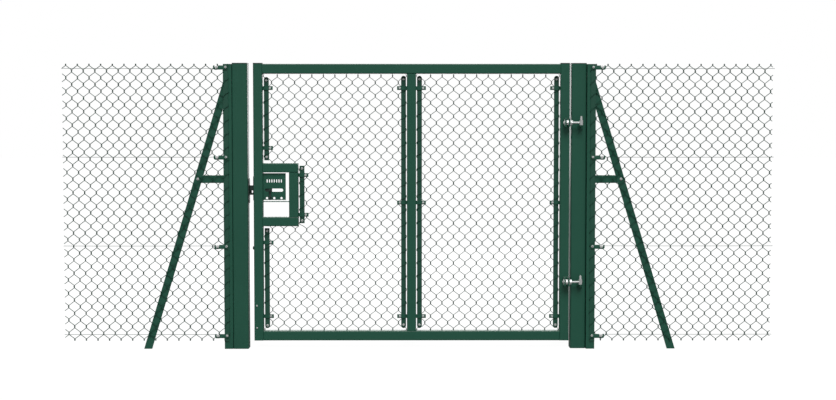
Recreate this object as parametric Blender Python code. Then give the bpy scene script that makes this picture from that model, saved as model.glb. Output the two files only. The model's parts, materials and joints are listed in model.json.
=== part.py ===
"""Chain link gate: one framed leaf between two square posts, with a short run of fence on each side.

Metres, +Z up, ground at z = 0. The origin is the middle of the hinge post's foot. The fence runs
along X and the side with the hinges faces -Y. The leaf hangs on two pintles at the right post and
locks with a sliding bolt into the left post.
"""

import math

import bmesh
import bpy
from mathutils import Matrix, Vector

# Fits
SEAM = 0.0003
PIN_PLAY = 0.0003
BOLT_PLAY = 0.003
GUIDE_PLAY = 0.001
STRIKE_GAP = 0.005

# Gate posts, square hollow section
POST_SIZE = 0.100
POST_WALL = 0.004
POST_CORNER = 0.010
POST_HEIGHT = 1.8555
POST_FOOT = 0.005
POST_SPACING = 2.200
LATCH_POST_FORWARD = 0.020
CAP_PLATE = 0.0047
CAP_PLUG = 0.014

# Leaf frame, square hollow section
HINGE_GAP = 0.010
LATCH_GAP = 0.035
LEAF_SIZE = 0.060
RAIL_HEIGHT = 0.063
LEAF_WALL = 0.003
LEAF_CORNER = 0.006
LEAF_BOTTOM = 0.0515
STILE_CAP = 0.0055

# Lock box in the leaf
BOX_OPENING_WIDTH = 0.170
BOX_OPENING_BOTTOM = 0.8605
BOX_OPENING_HEIGHT = 0.2905
SHELF_ABOVE_BOX_FLOOR = 0.098
SHELF_THICK = 0.005
SHELF_DEPTH = 0.050

# Lock plate with its slot and three holes
PLATE_FROM_BOX_SIDE = 0.022
PLATE_ABOVE_SHELF = 0.008
PLATE_BELOW_BOX_LID = 0.008
PLATE_THICK = 0.003
PLATE_RETURN = 0.022
SLOT_HEIGHT = 0.023
SLOT_FROM_STILE = 0.013
SLOT_FROM_PLATE_EDGE = 0.017
HOLE_DIAMETER = 0.015
HOLE_COUNT = 3
HOLE_FROM_STILE = 0.026
HOLE_FROM_PLATE_EDGE = 0.028
HOLE_ABOVE_PLATE_FOOT = 0.012

# Sliding bolt
BOLT_ABOVE_PLATE_FOOT = 0.064
BOLT_HEIGHT = 0.062
BOLT_THICK = 0.012
BOLT_THROW = 0.020
FORK_GAP = 0.018
FORK_DEPTH = 0.020
FORK_BELOW = 0.012
BOLT_BEYOND_KNOB = 0.004
KNOB_DIAMETER = 0.016
KNOB_LENGTH = 0.030
HANDLE_WIDTH = 0.012
HANDLE_THICK = 0.004
HANDLE_EYE = 0.026

# Keep on the latch post, face plate and buffer on the leaf
KEEP_BELOW_BOLT = 0.0845
KEEP_ABOVE_BOLT = 0.0755
KEEP_WIDTH = 0.070
KEEP_THICK = 0.005
KEEP_CORNER = 0.008
LIP_REACH = 0.014
LIP_THICK = 0.004
FACE_HEIGHT = 0.156
FACE_WIDTH = 0.044
FACE_THICK = 0.003
BUFFER_HEIGHT = 0.657
BUFFER_DIAMETER = 0.022
BUFFER_LENGTH = 0.009
BUFFER_EDGE = 0.003

# Hinges: a pintle on the post, an eyebolt and its bracket on the leaf
PIN_DIAMETER = 0.014
PIN_FROM_POST_MIDDLE = 0.0095
PIN_FORWARD = 0.045
PIN_ABOVE = 0.043
PIN_CHAMFER = 0.003
SHANK_BELOW = 0.028
ELBOW_PROUD = 0.0004
HINGE_BELOW_LEAF_TOP = 0.386
HINGE_ABOVE_LEAF_FOOT = 0.3895
EYE_DIAMETER = 0.024
EYE_LENGTH = 0.0324
ROD_SINK = 0.001
EYEBOLT_REACH = 0.1155
WASHER_DIAMETER = 0.026
NUT_FLATS = 0.030
NUT_THICK = 0.0135
BRACKET_PLATE = 0.005
BRACKET_LUG = 0.010
BRACKET_HEIGHT = 0.054
BRACKET_FROM_EDGE = 0.002

# Flat bars that stretch the wire fabric, and the cleats that hold them
BAR_WIDTH = 0.032
BAR_THICK = 0.005
BAR_GAP = 0.006
BAR_BEHIND_FRONT = 0.046
BAR_END_GAP = 0.012
BAR_ABOVE_BOX_SHORT = 0.008
BOX_BAR_INSET = 0.017
BAR_ABOVE_BOX = 0.018
BAR_BELOW_BOX = 0.015
CLEAT_LENGTH = 0.064
CLEAT_HEIGHT = 0.025
CLEAT_THICK = 0.005
CLEAT_ROOT = 0.002
CLEAT_ABOVE_BOTTOM_RAIL = 0.092
CLEAT_BELOW_TOP_RAIL = 0.0925
CLEAT_ABOVE_BOX = 0.099
CLEAT_BELOW_BOX = 0.109
CLEAT_ABOVE_BOX_FLOOR = 0.013
CLEAT_BELOW_BOX_LID = 0.018

# Wire fabric, drawn as a net in which each wire stands for two
CELL_WIDTH = 0.0755
CELL_HEIGHT = 0.0877
WIRE_HALF_WIDTH = 0.0032
BARB = 0.014

# Fence beside the gate: angle post, strut, brace, line wires
ANGLE_SIZE = 0.055
ANGLE_THICK = 0.006
ANGLE_BELOW_POST = 0.002
ANGLE_GAP = 0.001
ANGLE_FRONT = -0.070
FENCE_BAR_BOTTOM = 0.050
FENCE_BAR_BELOW_TOP = 0.016
STRUT_SIZE = 0.050
STRUT_THICK = 0.005
STRUT_SPREAD = 0.501
STRUT_BELOW_TOP = 0.198
BRACE_SIZE = 0.050
BRACE_THICK = 0.005
BRACE_HEIGHT = 1.108
LEFT_RUN = 1.040
RIGHT_RUN = 1.154
FABRIC_BOTTOM = 0.058
FABRIC_BELOW_TOP = 0.014
LINE_WIRE_DIAMETER = 0.004
LOW_LINE_WIRES = (0.086, 0.669)
HIGH_LINE_WIRES_BELOW_TOP = (0.604, 0.023)
STRAINER_HEIGHT = 0.026
STRAINER_REACH = 0.077
STRAINER_TAIL = 0.010
STRAINER_THICK = 0.005
STRAINER_DRUM = 0.016
DRUM_PROUD = 0.0002
DRUM_FRONT = 0.0045
DRUM_BACK = 0.0022
STRAINER_DRUM_AT = 0.056
STRAINER_BOLT_FLATS = 0.017
STRAINER_BOLT_THICK = 0.006
STRAINER_BOLT_FROM_EDGE = 0.011

# Number of steps in a rounded corner, a slot's end, an eye, a small hole and a full turn
CORNER_STEPS = 3
END_STEPS = 6
EYE_STEPS = 14
SMALL_STEPS = 12
WIRE_STEPS = 8
TURN_STEPS = 16
SMOOTH_ANGLE = 35

# Places worked out from the sizes
HALF_POST = POST_SIZE / 2
LEAF_FRONT = -HALF_POST
LEAF_MIDDLE_Y = LEAF_FRONT + LEAF_SIZE / 2
HINGE_STILE_X = -HALF_POST - HINGE_GAP - LEAF_SIZE / 2
LATCH_POST_FACE = HALF_POST - POST_SPACING
LATCH_STILE_X = LATCH_POST_FACE + LATCH_GAP + LEAF_SIZE / 2
MIDDLE_STILE_X = (HINGE_STILE_X + LATCH_STILE_X) / 2
LATCH_STILE_INNER = LATCH_STILE_X + LEAF_SIZE / 2
HINGE_STILE_INNER = HINGE_STILE_X - LEAF_SIZE / 2
LATCH_STILE_OUTER = LATCH_STILE_X - LEAF_SIZE / 2
LEAF_TOP = POST_HEIGHT + SEAM + CAP_PLATE
RAIL_TOP = LEAF_TOP - STILE_CAP
OPENING_BOTTOM = LEAF_BOTTOM + RAIL_HEIGHT
OPENING_TOP = RAIL_TOP - RAIL_HEIGHT
BOX_SIDE_INNER = LATCH_STILE_INNER + BOX_OPENING_WIDTH
BOX_OUTER = BOX_SIDE_INNER + LEAF_SIZE
BOX_OPENING_TOP = BOX_OPENING_BOTTOM + BOX_OPENING_HEIGHT
BOX_BOTTOM = BOX_OPENING_BOTTOM - LEAF_SIZE
BOX_TOP = BOX_OPENING_TOP + LEAF_SIZE
SHELF_HEIGHT = BOX_OPENING_BOTTOM + SHELF_ABOVE_BOX_FLOOR
PLATE_WIDTH = BOX_OPENING_WIDTH - PLATE_FROM_BOX_SIDE
PLATE_BOTTOM = SHELF_HEIGHT + SHELF_THICK + PLATE_ABOVE_SHELF
PLATE_TOP = BOX_OPENING_TOP - PLATE_BELOW_BOX_LID
SLOT_WIDTH = PLATE_WIDTH - SLOT_FROM_STILE - SLOT_FROM_PLATE_EDGE
HOLE_SPACING = (PLATE_WIDTH - HOLE_FROM_STILE - HOLE_FROM_PLATE_EDGE) / (HOLE_COUNT - 1)
HOLE_HEIGHT = PLATE_BOTTOM + HOLE_ABOVE_PLATE_FOOT
BOLT_MIDDLE = PLATE_BOTTOM + BOLT_ABOVE_PLATE_FOOT
KEEP_BOTTOM = BOLT_MIDDLE - KEEP_BELOW_BOLT
KEEP_TOP = BOLT_MIDDLE + KEEP_ABOVE_BOLT
HINGE_HEIGHTS = {"upper": LEAF_TOP - HINGE_BELOW_LEAF_TOP, "lower": LEAF_BOTTOM + HINGE_ABOVE_LEAF_FOOT}
LOW_CLEAT = OPENING_BOTTOM + CLEAT_ABOVE_BOTTOM_RAIL
HIGH_CLEAT = OPENING_TOP - CLEAT_BELOW_TOP_RAIL
CLEATS_FULL = (LOW_CLEAT, (OPENING_BOTTOM + OPENING_TOP) / 2, HIGH_CLEAT)
CLEATS_ABOVE_BOX = (BOX_TOP + CLEAT_ABOVE_BOX, HIGH_CLEAT)
CLEATS_BELOW_BOX = (LOW_CLEAT, BOX_BOTTOM - CLEAT_BELOW_BOX)
CLEATS_BOX = (BOX_OPENING_BOTTOM + CLEAT_ABOVE_BOX_FLOOR, BOX_OPENING_TOP - CLEAT_BELOW_BOX_LID)
BAR_Y = LEAF_FRONT + BAR_BEHIND_FRONT + BAR_THICK / 2
CLEAT_Y = BAR_Y - BAR_THICK / 2 - SEAM - CLEAT_THICK / 2
PIN_X = PIN_FROM_POST_MIDDLE
PIN_Y = -HALF_POST - PIN_FORWARD
BOLT_TIP = LATCH_POST_FACE + SEAM + KEEP_THICK + STRIKE_GAP
FENCE_BAR_Y = ANGLE_FRONT - SEAM - BAR_THICK / 2
ANGLE_HEIGHT = POST_HEIGHT - ANGLE_BELOW_POST
FENCE_BAR_TOP = ANGLE_HEIGHT - FENCE_BAR_BELOW_TOP
FABRIC_TOP = ANGLE_HEIGHT - FABRIC_BELOW_TOP
STRUT_MEETS = ANGLE_HEIGHT - STRUT_BELOW_TOP
LINE_WIRES = (*LOW_LINE_WIRES, *[ANGLE_HEIGHT - depth for depth in HIGH_LINE_WIRES_BELOW_TOP])
STRAINER_Y = FENCE_BAR_Y - BAR_THICK / 2 - SEAM - STRAINER_THICK / 2

# Each turn takes a piece drawn along its own Z to the world axis named
ALONG = {
    "X": Matrix(((0, 0, 1), (1, 0, 0), (0, 1, 0))).to_4x4(),
    "Y": Matrix(((0, 1, 0), (0, 0, 1), (1, 0, 0))).to_4x4(),
    "Z": Matrix.Identity(4),
}


def clear_scene():
    for thing in list(bpy.data.objects):
        bpy.data.objects.remove(thing, do_unlink=True)


def paint(name, colour, roughness, metallic):
    """A Principled BSDF material of one colour."""
    material = bpy.data.materials.new(name)
    material.use_nodes = True
    shader = material.node_tree.nodes["Principled BSDF"]
    shader.inputs["Base Color"].default_value = (*colour, 1.0)
    shader.inputs["Roughness"].default_value = roughness
    shader.inputs["Metallic"].default_value = metallic
    material.diffuse_color = (*colour, 1.0)
    return material


def arc(centre, radius, start, end, steps):
    """Points on an arc, with its angles in degrees."""
    points = []
    for step in range(steps + 1):
        angle = math.radians(start + (end - start) * step / steps)
        points.append((centre[0] + radius * math.cos(angle), centre[1] + radius * math.sin(angle)))
    return points


def rounded_rectangle(width, depth, corner):
    """A rectangle about the middle with rounded corners, anticlockwise."""
    x = width / 2 - corner
    y = depth / 2 - corner
    points = []
    for quarter, centre in enumerate(((x, y), (-x, y), (-x, -y), (x, -y))):
        points += arc(centre, corner, quarter * 90, quarter * 90 + 90, CORNER_STEPS)
    return points


def rectangle(low, high):
    """The four corners of a rectangle from its low and high corner."""
    return [(low[0], low[1]), (high[0], low[1]), (high[0], high[1]), (low[0], high[1])]


def circle(radius, steps=TURN_STEPS):
    """Points on a full circle about the middle, starting half a step round."""
    start = 180 / steps
    return arc((0, 0), radius, start, start + 360, steps)[:-1]


def turned_circle(radius):
    """Points on a full circle about the middle, starting on +X."""
    return arc((0, 0), radius, 0, 360, TURN_STEPS)[:-1]


def hexagon(flats):
    """A hexagon across its flats, with flats facing up and down."""
    return arc((0, 0), flats / math.sqrt(3), 0, 360, 6)[:-1]


def angle_outline(size, thick):
    """An L with both legs from the origin along +X and +Y."""
    return [(0, 0), (size, 0), (size, thick), (thick, thick), (thick, size), (0, size)]


def skin(rings, looped=False):
    """A closed mesh through rings of equally many points; looped joins the last to the first."""
    mesh = bmesh.new()
    corners = [[mesh.verts.new(point) for point in ring] for ring in rings]
    pairs = list(zip(corners, corners[1:]))
    if looped:
        pairs.append((corners[-1], corners[0]))
    else:
        mesh.faces.new(corners[0])
        mesh.faces.new(corners[-1])
    count = len(corners[0])
    for near, far in pairs:
        for i in range(count):
            j = (i + 1) % count
            mesh.faces.new((near[i], near[j], far[j], far[i]))
    return mesh


def lift(outline, height):
    return [(x, y, height) for x, y in outline]


def prism(outline, low, high):
    """An outline drawn out from one height to another."""
    return skin([lift(outline, low), lift(outline, high)])


def turned(profile):
    """A turned solid from (radius, height) pairs, from end to end."""
    return skin([lift(turned_circle(radius), height) for radius, height in profile])


def turned_ring(profile):
    """A turned ring from a closed loop of (radius, height) pairs."""
    return skin([lift(turned_circle(radius), height) for radius, height in profile], looped=True)


def hollow_section(width, depth, wall, corner, low, high, floor=0.0, lid=0.0):
    """A rectangular hollow section, open or with a closed floor or lid."""
    outer = rounded_rectangle(width, depth, corner)
    inner = rounded_rectangle(width - 2 * wall, depth - 2 * wall, max(corner - wall, wall / 4))
    if floor:
        rings = [lift(outer, low), lift(outer, high), lift(inner, high), lift(inner, low + floor)]
        return skin(rings)
    if lid:
        rings = [lift(outer, high), lift(outer, low), lift(inner, low), lift(inner, high - lid)]
        return skin(rings)
    rings = [lift(outer, low), lift(outer, high), lift(inner, high), lift(inner, low)]
    return skin(rings, looped=True)


def piece(name, mesh, material, place=(0, 0, 0), along="Z", turn=None):
    """One named object from a mesh drawn along its own Z, set along a world axis at its place."""
    bmesh.ops.recalc_face_normals(mesh, faces=mesh.faces)
    data = bpy.data.meshes.new(name)
    mesh.to_mesh(data)
    mesh.free()
    data.materials.append(material)
    thing = bpy.data.objects.new(name, data)
    bpy.context.scene.collection.objects.link(thing)
    thing.matrix_world = Matrix.Translation(place) @ (turn or ALONG[along])
    return thing


def guide(thing):
    """Mark an object as a tool for shaping others, and not a piece itself."""
    thing.hide_render = True
    thing.display_type = "WIRE"
    return thing


def combine(base, tools, operation):
    for tool in tools:
        guide(tool)
        modifier = base.modifiers.new(tool.name, "BOOLEAN")
        modifier.operation = operation
        modifier.solver = "EXACT"
        modifier.object = tool
    return base


def weld(base, tools):
    """Join tools to a piece as one solid."""
    return combine(base, tools, "UNION")


def cut(base, tools):
    """Cut tools out of a piece."""
    return combine(base, tools, "DIFFERENCE")


def round_off(thing):
    thing.data.shade_smooth()
    thing.data.set_sharp_from_angle(angle=math.radians(SMOOTH_ANGLE))
    return thing


def carry(parent, things):
    """Parent things to an empty, where they stand."""
    bpy.context.view_layer.update()
    for thing in things:
        thing.parent = parent
        thing.matrix_parent_inverse = parent.matrix_world.inverted()


def pivot(name, place):
    empty = bpy.data.objects.new(name, None)
    empty.empty_display_size = 0.1
    bpy.context.scene.collection.objects.link(empty)
    empty.location = place
    bpy.context.view_layer.update()
    return empty


def post(name, place, material):
    """A gate post with a closed foot and an open top."""
    tube = hollow_section(POST_SIZE, POST_SIZE, POST_WALL, POST_CORNER, 0.0, POST_HEIGHT, floor=POST_FOOT)
    return round_off(piece(name, tube, material, place))


def post_cap(name, place, material):
    """A cap plate with a plug that sits inside the post."""
    inside = POST_SIZE - 2 * POST_WALL - 2 * SEAM
    plug = rounded_rectangle(inside, inside, POST_CORNER - POST_WALL)
    plate = rounded_rectangle(POST_SIZE, POST_SIZE, POST_CORNER)
    seat = POST_HEIGHT + SEAM
    rings = [lift(plug, seat - CAP_PLUG), lift(plug, seat)]
    rings += [lift(plate, seat), lift(plate, seat + CAP_PLATE)]
    return piece(name, skin(rings), material, place)


def bolt_slot(name, play, low, high, material):
    """A cutter along X with the outline of the bolt and some play round it."""
    half_height = BOLT_HEIGHT / 2 + play
    half_thick = BOLT_THICK / 2 + play
    outline = rectangle((-half_thick, -half_height), (half_thick, half_height))
    return piece(name, prism(outline, low, high), material, (0, LEAF_MIDDLE_Y, BOLT_MIDDLE), "X")


def gate_posts(colours):
    hinge_post = post("hinge_post", (0, 0, 0), colours["green"])
    latch_post = post("latch_post", (-POST_SPACING, -LATCH_POST_FORWARD, 0), colours["green"])
    slot_low = LATCH_POST_FACE - HALF_POST
    slot_high = LATCH_POST_FACE + SEAM
    slot = bolt_slot("latch_post_slot", BOLT_PLAY, slot_low, slot_high, colours["green"])
    cut(latch_post, [slot])
    post_cap("hinge_post_cap", (0, 0, 0), colours["green"])
    post_cap("latch_post_cap", (-POST_SPACING, -LATCH_POST_FORWARD, 0), colours["green"])
    return [hinge_post, latch_post]


def keep(colours):
    """The keep plate on the latch post, with the bolt's slot and a lip behind the bolt."""
    face = LATCH_POST_FACE + SEAM
    height = KEEP_TOP - KEEP_BOTTOM
    outline = rounded_rectangle(KEEP_WIDTH, height, KEEP_CORNER)
    centre = (face, LEAF_MIDDLE_Y, (KEEP_TOP + KEEP_BOTTOM) / 2)
    plate = piece("keep", prism(outline, 0, KEEP_THICK), colours["black"], centre, "X")
    lip_y = LEAF_MIDDLE_Y + BOLT_THICK / 2 + STRIKE_GAP
    half = BOLT_HEIGHT / 2
    lip_outline = rectangle((lip_y, -half), (lip_y + LIP_THICK, half))
    lip_mesh = prism(lip_outline, KEEP_THICK / 2, KEEP_THICK + LIP_REACH)
    lip = piece("keep_lip", lip_mesh, colours["black"], (face, 0, BOLT_MIDDLE), "X")
    slot = bolt_slot("keep_slot", BOLT_PLAY, face - SEAM, face + KEEP_THICK + SEAM, colours["black"])
    weld(plate, [lip])
    return cut(plate, [slot])


def pintle(level, height, colours):
    """A pin that stands on a shank out of the post, with its nut on the post's face."""
    name = f"hinge_pin_{level}"
    radius = PIN_DIAMETER / 2
    washer = WASHER_DIAMETER / 2
    washer_top = -EYE_LENGTH / 2 - SEAM
    shank_top = radius - SHANK_BELOW
    profile = [
        (radius, -SHANK_BELOW),
        (radius, shank_top),
        (washer, shank_top),
        (washer, washer_top),
        (radius, washer_top),
        (radius, PIN_ABOVE - PIN_CHAMFER),
        (radius - PIN_CHAMFER, PIN_ABOVE),
    ]
    pin = piece(name, turned(profile), colours["zinc"], (PIN_X, PIN_Y, height))
    shank_z = height - SHANK_BELOW
    length = PIN_FORWARD - SEAM
    place = (PIN_X, PIN_Y, shank_z)
    shank = piece(f"{name}_shank", prism(circle(radius), 0, length), colours["zinc"], place, "Y")
    elbow_mesh = bmesh.new()
    bmesh.ops.create_icosphere(elbow_mesh, subdivisions=2, radius=radius + ELBOW_PROUD)
    elbow = piece(f"{name}_elbow", elbow_mesh, colours["zinc"], place)
    nut_mesh = prism(hexagon(NUT_FLATS), length - NUT_THICK, length)
    nut = piece(f"{name}_nut", nut_mesh, colours["zinc"], place, "Y")
    return round_off(weld(pin, [shank, elbow, nut]))


def eyebolt(level, height, colours):
    """An eye round the pin, its rod along the leaf's face and a nut on each side of the lug."""
    name = f"hinge_eyebolt_{level}"
    radius = PIN_DIAMETER / 2
    bore = radius + PIN_PLAY
    outer = EYE_DIAMETER / 2
    half = EYE_LENGTH / 2
    ring = turned_ring([(outer, -half), (outer, half), (bore, half), (bore, -half)])
    place = (PIN_X, PIN_Y, height)
    eye = piece(name, ring, colours["zinc"], place)
    rod_mesh = prism(circle(radius), -EYEBOLT_REACH, -bore - ROD_SINK)
    rod = piece(f"{name}_rod", rod_mesh, colours["zinc"], place, "X")
    lug_right = -HALF_POST - HINGE_GAP - BRACKET_FROM_EDGE - PIN_X
    lug_left = lug_right - BRACKET_LUG
    nuts = []
    for side, start in (("outer", lug_right + SEAM), ("inner", lug_left - SEAM - NUT_THICK)):
        nut_mesh = prism(hexagon(NUT_FLATS), start, start + NUT_THICK)
        nuts.append(piece(f"{name}_nut_{side}", nut_mesh, colours["zinc"], place, "X"))
    return round_off(weld(eye, [rod, *nuts]))


def hinge_bracket(level, height, colours):
    """A channel bracket on the leaf's face with two lugs that the rod passes through."""
    name = f"hinge_bracket_{level}"
    right = -HALF_POST - HINGE_GAP - BRACKET_FROM_EDGE
    width = 2 * BRACKET_LUG + NUT_THICK + 4 * SEAM
    back = LEAF_FRONT - SEAM
    front = PIN_Y - PIN_DIAMETER
    left = right - width
    outline = [
        (left, front),
        (left + BRACKET_LUG, front),
        (left + BRACKET_LUG, back - BRACKET_PLATE),
        (right - BRACKET_LUG, back - BRACKET_PLATE),
        (right - BRACKET_LUG, front),
        (right, front),
        (right, back),
        (left, back),
    ]
    half = BRACKET_HEIGHT / 2
    bracket = piece(name, prism(outline, height - half, height + half), colours["green"])
    hole_mesh = prism(circle(PIN_DIAMETER / 2 + PIN_PLAY), left - BRACKET_LUG, right + BRACKET_LUG)
    hole = piece(f"{name}_hole", hole_mesh, colours["green"], (0, PIN_Y, height), "X")
    return cut(bracket, [hole])


def member(name, axis, low, high, place, colours, lid=0.0, height=LEAF_SIZE):
    """One length of the leaf's hollow section along X or Z; height is for one along X."""
    tube = hollow_section(LEAF_SIZE, height, LEAF_WALL, LEAF_CORNER, low, high, lid=lid)
    return round_off(piece(name, tube, colours["green"], place, axis))


def cleat_lugs(name, face, side, heights, colours):
    """Flat lugs that stand out of a member's side; side is +1 or -1 along X."""
    lugs = []
    root = face - side * CLEAT_ROOT
    tip = face + side * CLEAT_LENGTH
    for number, height in enumerate(heights, start=1):
        low = (min(root, tip), CLEAT_Y - CLEAT_THICK / 2)
        high = (max(root, tip), CLEAT_Y + CLEAT_THICK / 2)
        mesh = prism(rectangle(low, high), height - CLEAT_HEIGHT / 2, height + CLEAT_HEIGHT / 2)
        lugs.append(piece(f"{name}_cleat_{number}", mesh, colours["green"]))
    return lugs


def leaf_frame(colours):
    """Two stiles, a middle stile and two rails."""
    latch_place = (LATCH_STILE_X, LEAF_MIDDLE_Y, 0)
    hinge_place = (HINGE_STILE_X, LEAF_MIDDLE_Y, 0)
    middle_place = (MIDDLE_STILE_X, LEAF_MIDDLE_Y, 0)
    latch = member("latch_stile", "Z", LEAF_BOTTOM, LEAF_TOP, latch_place, colours, lid=STILE_CAP)
    hinge = member("hinge_stile", "Z", LEAF_BOTTOM, LEAF_TOP, hinge_place, colours, lid=STILE_CAP)
    middle = member("middle_stile", "Z", OPENING_BOTTOM + SEAM, OPENING_TOP - SEAM, middle_place, colours)
    rail_low = LATCH_STILE_INNER + SEAM
    rail_high = HINGE_STILE_INNER - SEAM
    half = LEAF_SIZE / 2
    rails = []
    for name, edge in (("bottom_rail", OPENING_BOTTOM), ("top_rail", RAIL_TOP)):
        place = (0, LEAF_MIDDLE_Y, edge - RAIL_HEIGHT / 2)
        rails.append(member(name, "X", rail_low, rail_high, place, colours, height=RAIL_HEIGHT))

    latch_heights = CLEATS_BELOW_BOX + CLEATS_ABOVE_BOX
    weld(latch, cleat_lugs("latch_stile", LATCH_STILE_INNER, 1, latch_heights, colours))
    weld(hinge, cleat_lugs("hinge_stile", HINGE_STILE_INNER, -1, CLEATS_FULL, colours))
    left_lugs = cleat_lugs("middle_stile_left", MIDDLE_STILE_X - half, -1, CLEATS_FULL, colours)
    right_lugs = cleat_lugs("middle_stile_right", MIDDLE_STILE_X + half, 1, CLEATS_FULL, colours)
    weld(middle, left_lugs + right_lugs)
    slot_low = LATCH_STILE_OUTER - half
    slot_high = LATCH_STILE_INNER + half
    slot = bolt_slot("latch_stile_slot", GUIDE_PLAY, slot_low, slot_high, colours["green"])
    cut(latch, [slot])
    return [latch, hinge, middle, *rails]


def lock_box(colours):
    """The box of the same section that frames the lock, and the shelf across it."""
    start = LATCH_STILE_INNER + SEAM
    pieces = []
    half = LEAF_SIZE / 2
    for name, height in (("lock_box_bottom", BOX_BOTTOM + half), ("lock_box_top", BOX_TOP - half)):
        place = (0, LEAF_MIDDLE_Y, height)
        pieces.append(member(name, "X", start, BOX_OUTER, place, colours, lid=LEAF_WALL))
    side_low = BOX_OPENING_BOTTOM + SEAM
    side_high = BOX_OPENING_TOP - SEAM
    side_place = (BOX_OUTER - half, LEAF_MIDDLE_Y, 0)
    side = member("lock_box_side", "Z", side_low, side_high, side_place, colours)
    weld(side, cleat_lugs("lock_box_side", BOX_OUTER, 1, CLEATS_BOX, colours))
    low = (start, LEAF_MIDDLE_Y - SHELF_DEPTH / 2)
    high = (BOX_SIDE_INNER - SEAM, LEAF_MIDDLE_Y + SHELF_DEPTH / 2)
    shelf_mesh = prism(rectangle(low, high), SHELF_HEIGHT, SHELF_HEIGHT + SHELF_THICK)
    shelf = piece("lock_shelf", shelf_mesh, colours["green"])
    return [*pieces, side, shelf]


def lock_plate(colours):
    """The plate in front of the bolt: a slot for the knob and three holes for a padlock."""
    left = LATCH_STILE_INNER + SEAM
    front = LEAF_MIDDLE_Y - BOLT_THICK / 2 - BOLT_PLAY - PLATE_THICK
    right = left + PLATE_WIDTH
    outline = [
        (left, front),
        (right, front),
        (right, front + PLATE_THICK),
        (left + PLATE_THICK, front + PLATE_THICK),
        (left + PLATE_THICK, front + PLATE_RETURN),
        (left, front + PLATE_RETURN),
    ]
    plate = piece("lock_plate", prism(outline, PLATE_BOTTOM, PLATE_TOP), colours["green"])
    slot_end = SLOT_HEIGHT / 2
    straight = SLOT_WIDTH / 2 - slot_end
    slot_outline = arc((0, straight), slot_end, 0, 180, END_STEPS)
    slot_outline += arc((0, -straight), slot_end, 180, 360, END_STEPS)
    slot_middle = LATCH_STILE_INNER + SLOT_FROM_STILE + SLOT_WIDTH / 2
    depth = PLATE_THICK * 2
    slot_place = (slot_middle, front + PLATE_THICK / 2, BOLT_MIDDLE)
    slot_mesh = prism(slot_outline, -depth, depth)
    tools = [piece("lock_plate_slot", slot_mesh, colours["green"], slot_place, "Y")]
    for number in range(HOLE_COUNT):
        x = LATCH_STILE_INNER + HOLE_FROM_STILE + number * HOLE_SPACING
        mesh = prism(circle(HOLE_DIAMETER / 2, SMALL_STEPS), -depth, depth)
        place = (x, front + PLATE_THICK / 2, HOLE_HEIGHT)
        tools.append(piece(f"lock_plate_hole_{number + 1}", mesh, colours["green"], place, "Y"))
    far = left + PLATE_THICK + SEAM
    passage = bolt_slot("lock_plate_passage", BOLT_PLAY, left - SEAM, far, colours["green"])
    return cut(plate, [*tools, passage])


def slide_bolt(colours):
    """The forked bolt, its knob through the slot and the handle that hangs from the knob."""
    knob_x = LATCH_STILE_INNER + HOLE_FROM_STILE + BOLT_THROW
    end = knob_x + KNOB_DIAMETER / 2 + BOLT_BEYOND_KNOB
    half = BOLT_HEIGHT / 2
    fork_low = -half + FORK_BELOW
    fork_high = fork_low + FORK_GAP
    fork_end = BOLT_TIP + FORK_DEPTH - FORK_GAP / 2
    fork_round = arc(((fork_low + fork_high) / 2, fork_end), FORK_GAP / 2, 180, 0, END_STEPS)
    outline = [(-half, end), (-half, BOLT_TIP), (fork_low, BOLT_TIP), *fork_round]
    outline += [(fork_high, BOLT_TIP), (half, BOLT_TIP), (half, end)]
    bar_mesh = prism(outline, -BOLT_THICK / 2, BOLT_THICK / 2)
    bolt = piece("slide_bolt", bar_mesh, colours["black"], (0, LEAF_MIDDLE_Y, BOLT_MIDDLE), "Y")

    knob_start = -BOLT_THICK / 4
    knob_end = -BOLT_THICK / 2 - KNOB_LENGTH
    knob_mesh = prism(circle(KNOB_DIAMETER / 2), knob_end, knob_start)
    knob = piece("slide_bolt_knob", knob_mesh, colours["black"], (knob_x, LEAF_MIDDLE_Y, BOLT_MIDDLE), "Y")

    eye_drop = HOLE_HEIGHT - BOLT_MIDDLE
    eye = HANDLE_EYE / 2
    half_width = HANDLE_WIDTH / 2
    neck = eye_drop + math.sqrt(eye * eye - half_width * half_width)
    lean = math.degrees(math.asin(half_width / eye))
    handle_outline = [(0, half_width), (0, -half_width), (neck, -half_width)]
    handle_outline += arc((eye_drop, 0), eye, -lean, -360 + lean, EYE_STEPS)[1:-1]
    handle_outline += [(neck, half_width)]
    handle_y = LEAF_MIDDLE_Y - BOLT_THICK / 2 - 2 * BOLT_PLAY - PLATE_THICK - HANDLE_THICK / 2
    handle_mesh = prism(handle_outline, -HANDLE_THICK / 2, HANDLE_THICK / 2)
    handle = piece("slide_bolt_handle", handle_mesh, colours["black"], (knob_x, handle_y, BOLT_MIDDLE), "Y")
    hole_mesh = prism(circle(HOLE_DIAMETER / 2, SMALL_STEPS), -HANDLE_THICK, HANDLE_THICK)
    hole = piece("slide_bolt_hole", hole_mesh, colours["black"], (knob_x, handle_y, HOLE_HEIGHT), "Y")
    weld(bolt, [knob, handle])
    return cut(bolt, [hole])


def face_plate(colours):
    """The plate round the bolt on the leaf's outer side."""
    outline = rounded_rectangle(FACE_WIDTH, FACE_HEIGHT, LEAF_CORNER)
    start = LATCH_STILE_OUTER - SEAM - FACE_THICK
    place = (start, LEAF_MIDDLE_Y, BOLT_MIDDLE + SLOT_HEIGHT / 2)
    plate = piece("face_plate", prism(outline, 0, FACE_THICK), colours["black"], place, "X")
    far = start + FACE_THICK + SEAM
    slot = bolt_slot("face_plate_slot", GUIDE_PLAY, start - SEAM, far, colours["black"])
    return cut(plate, [slot])


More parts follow.
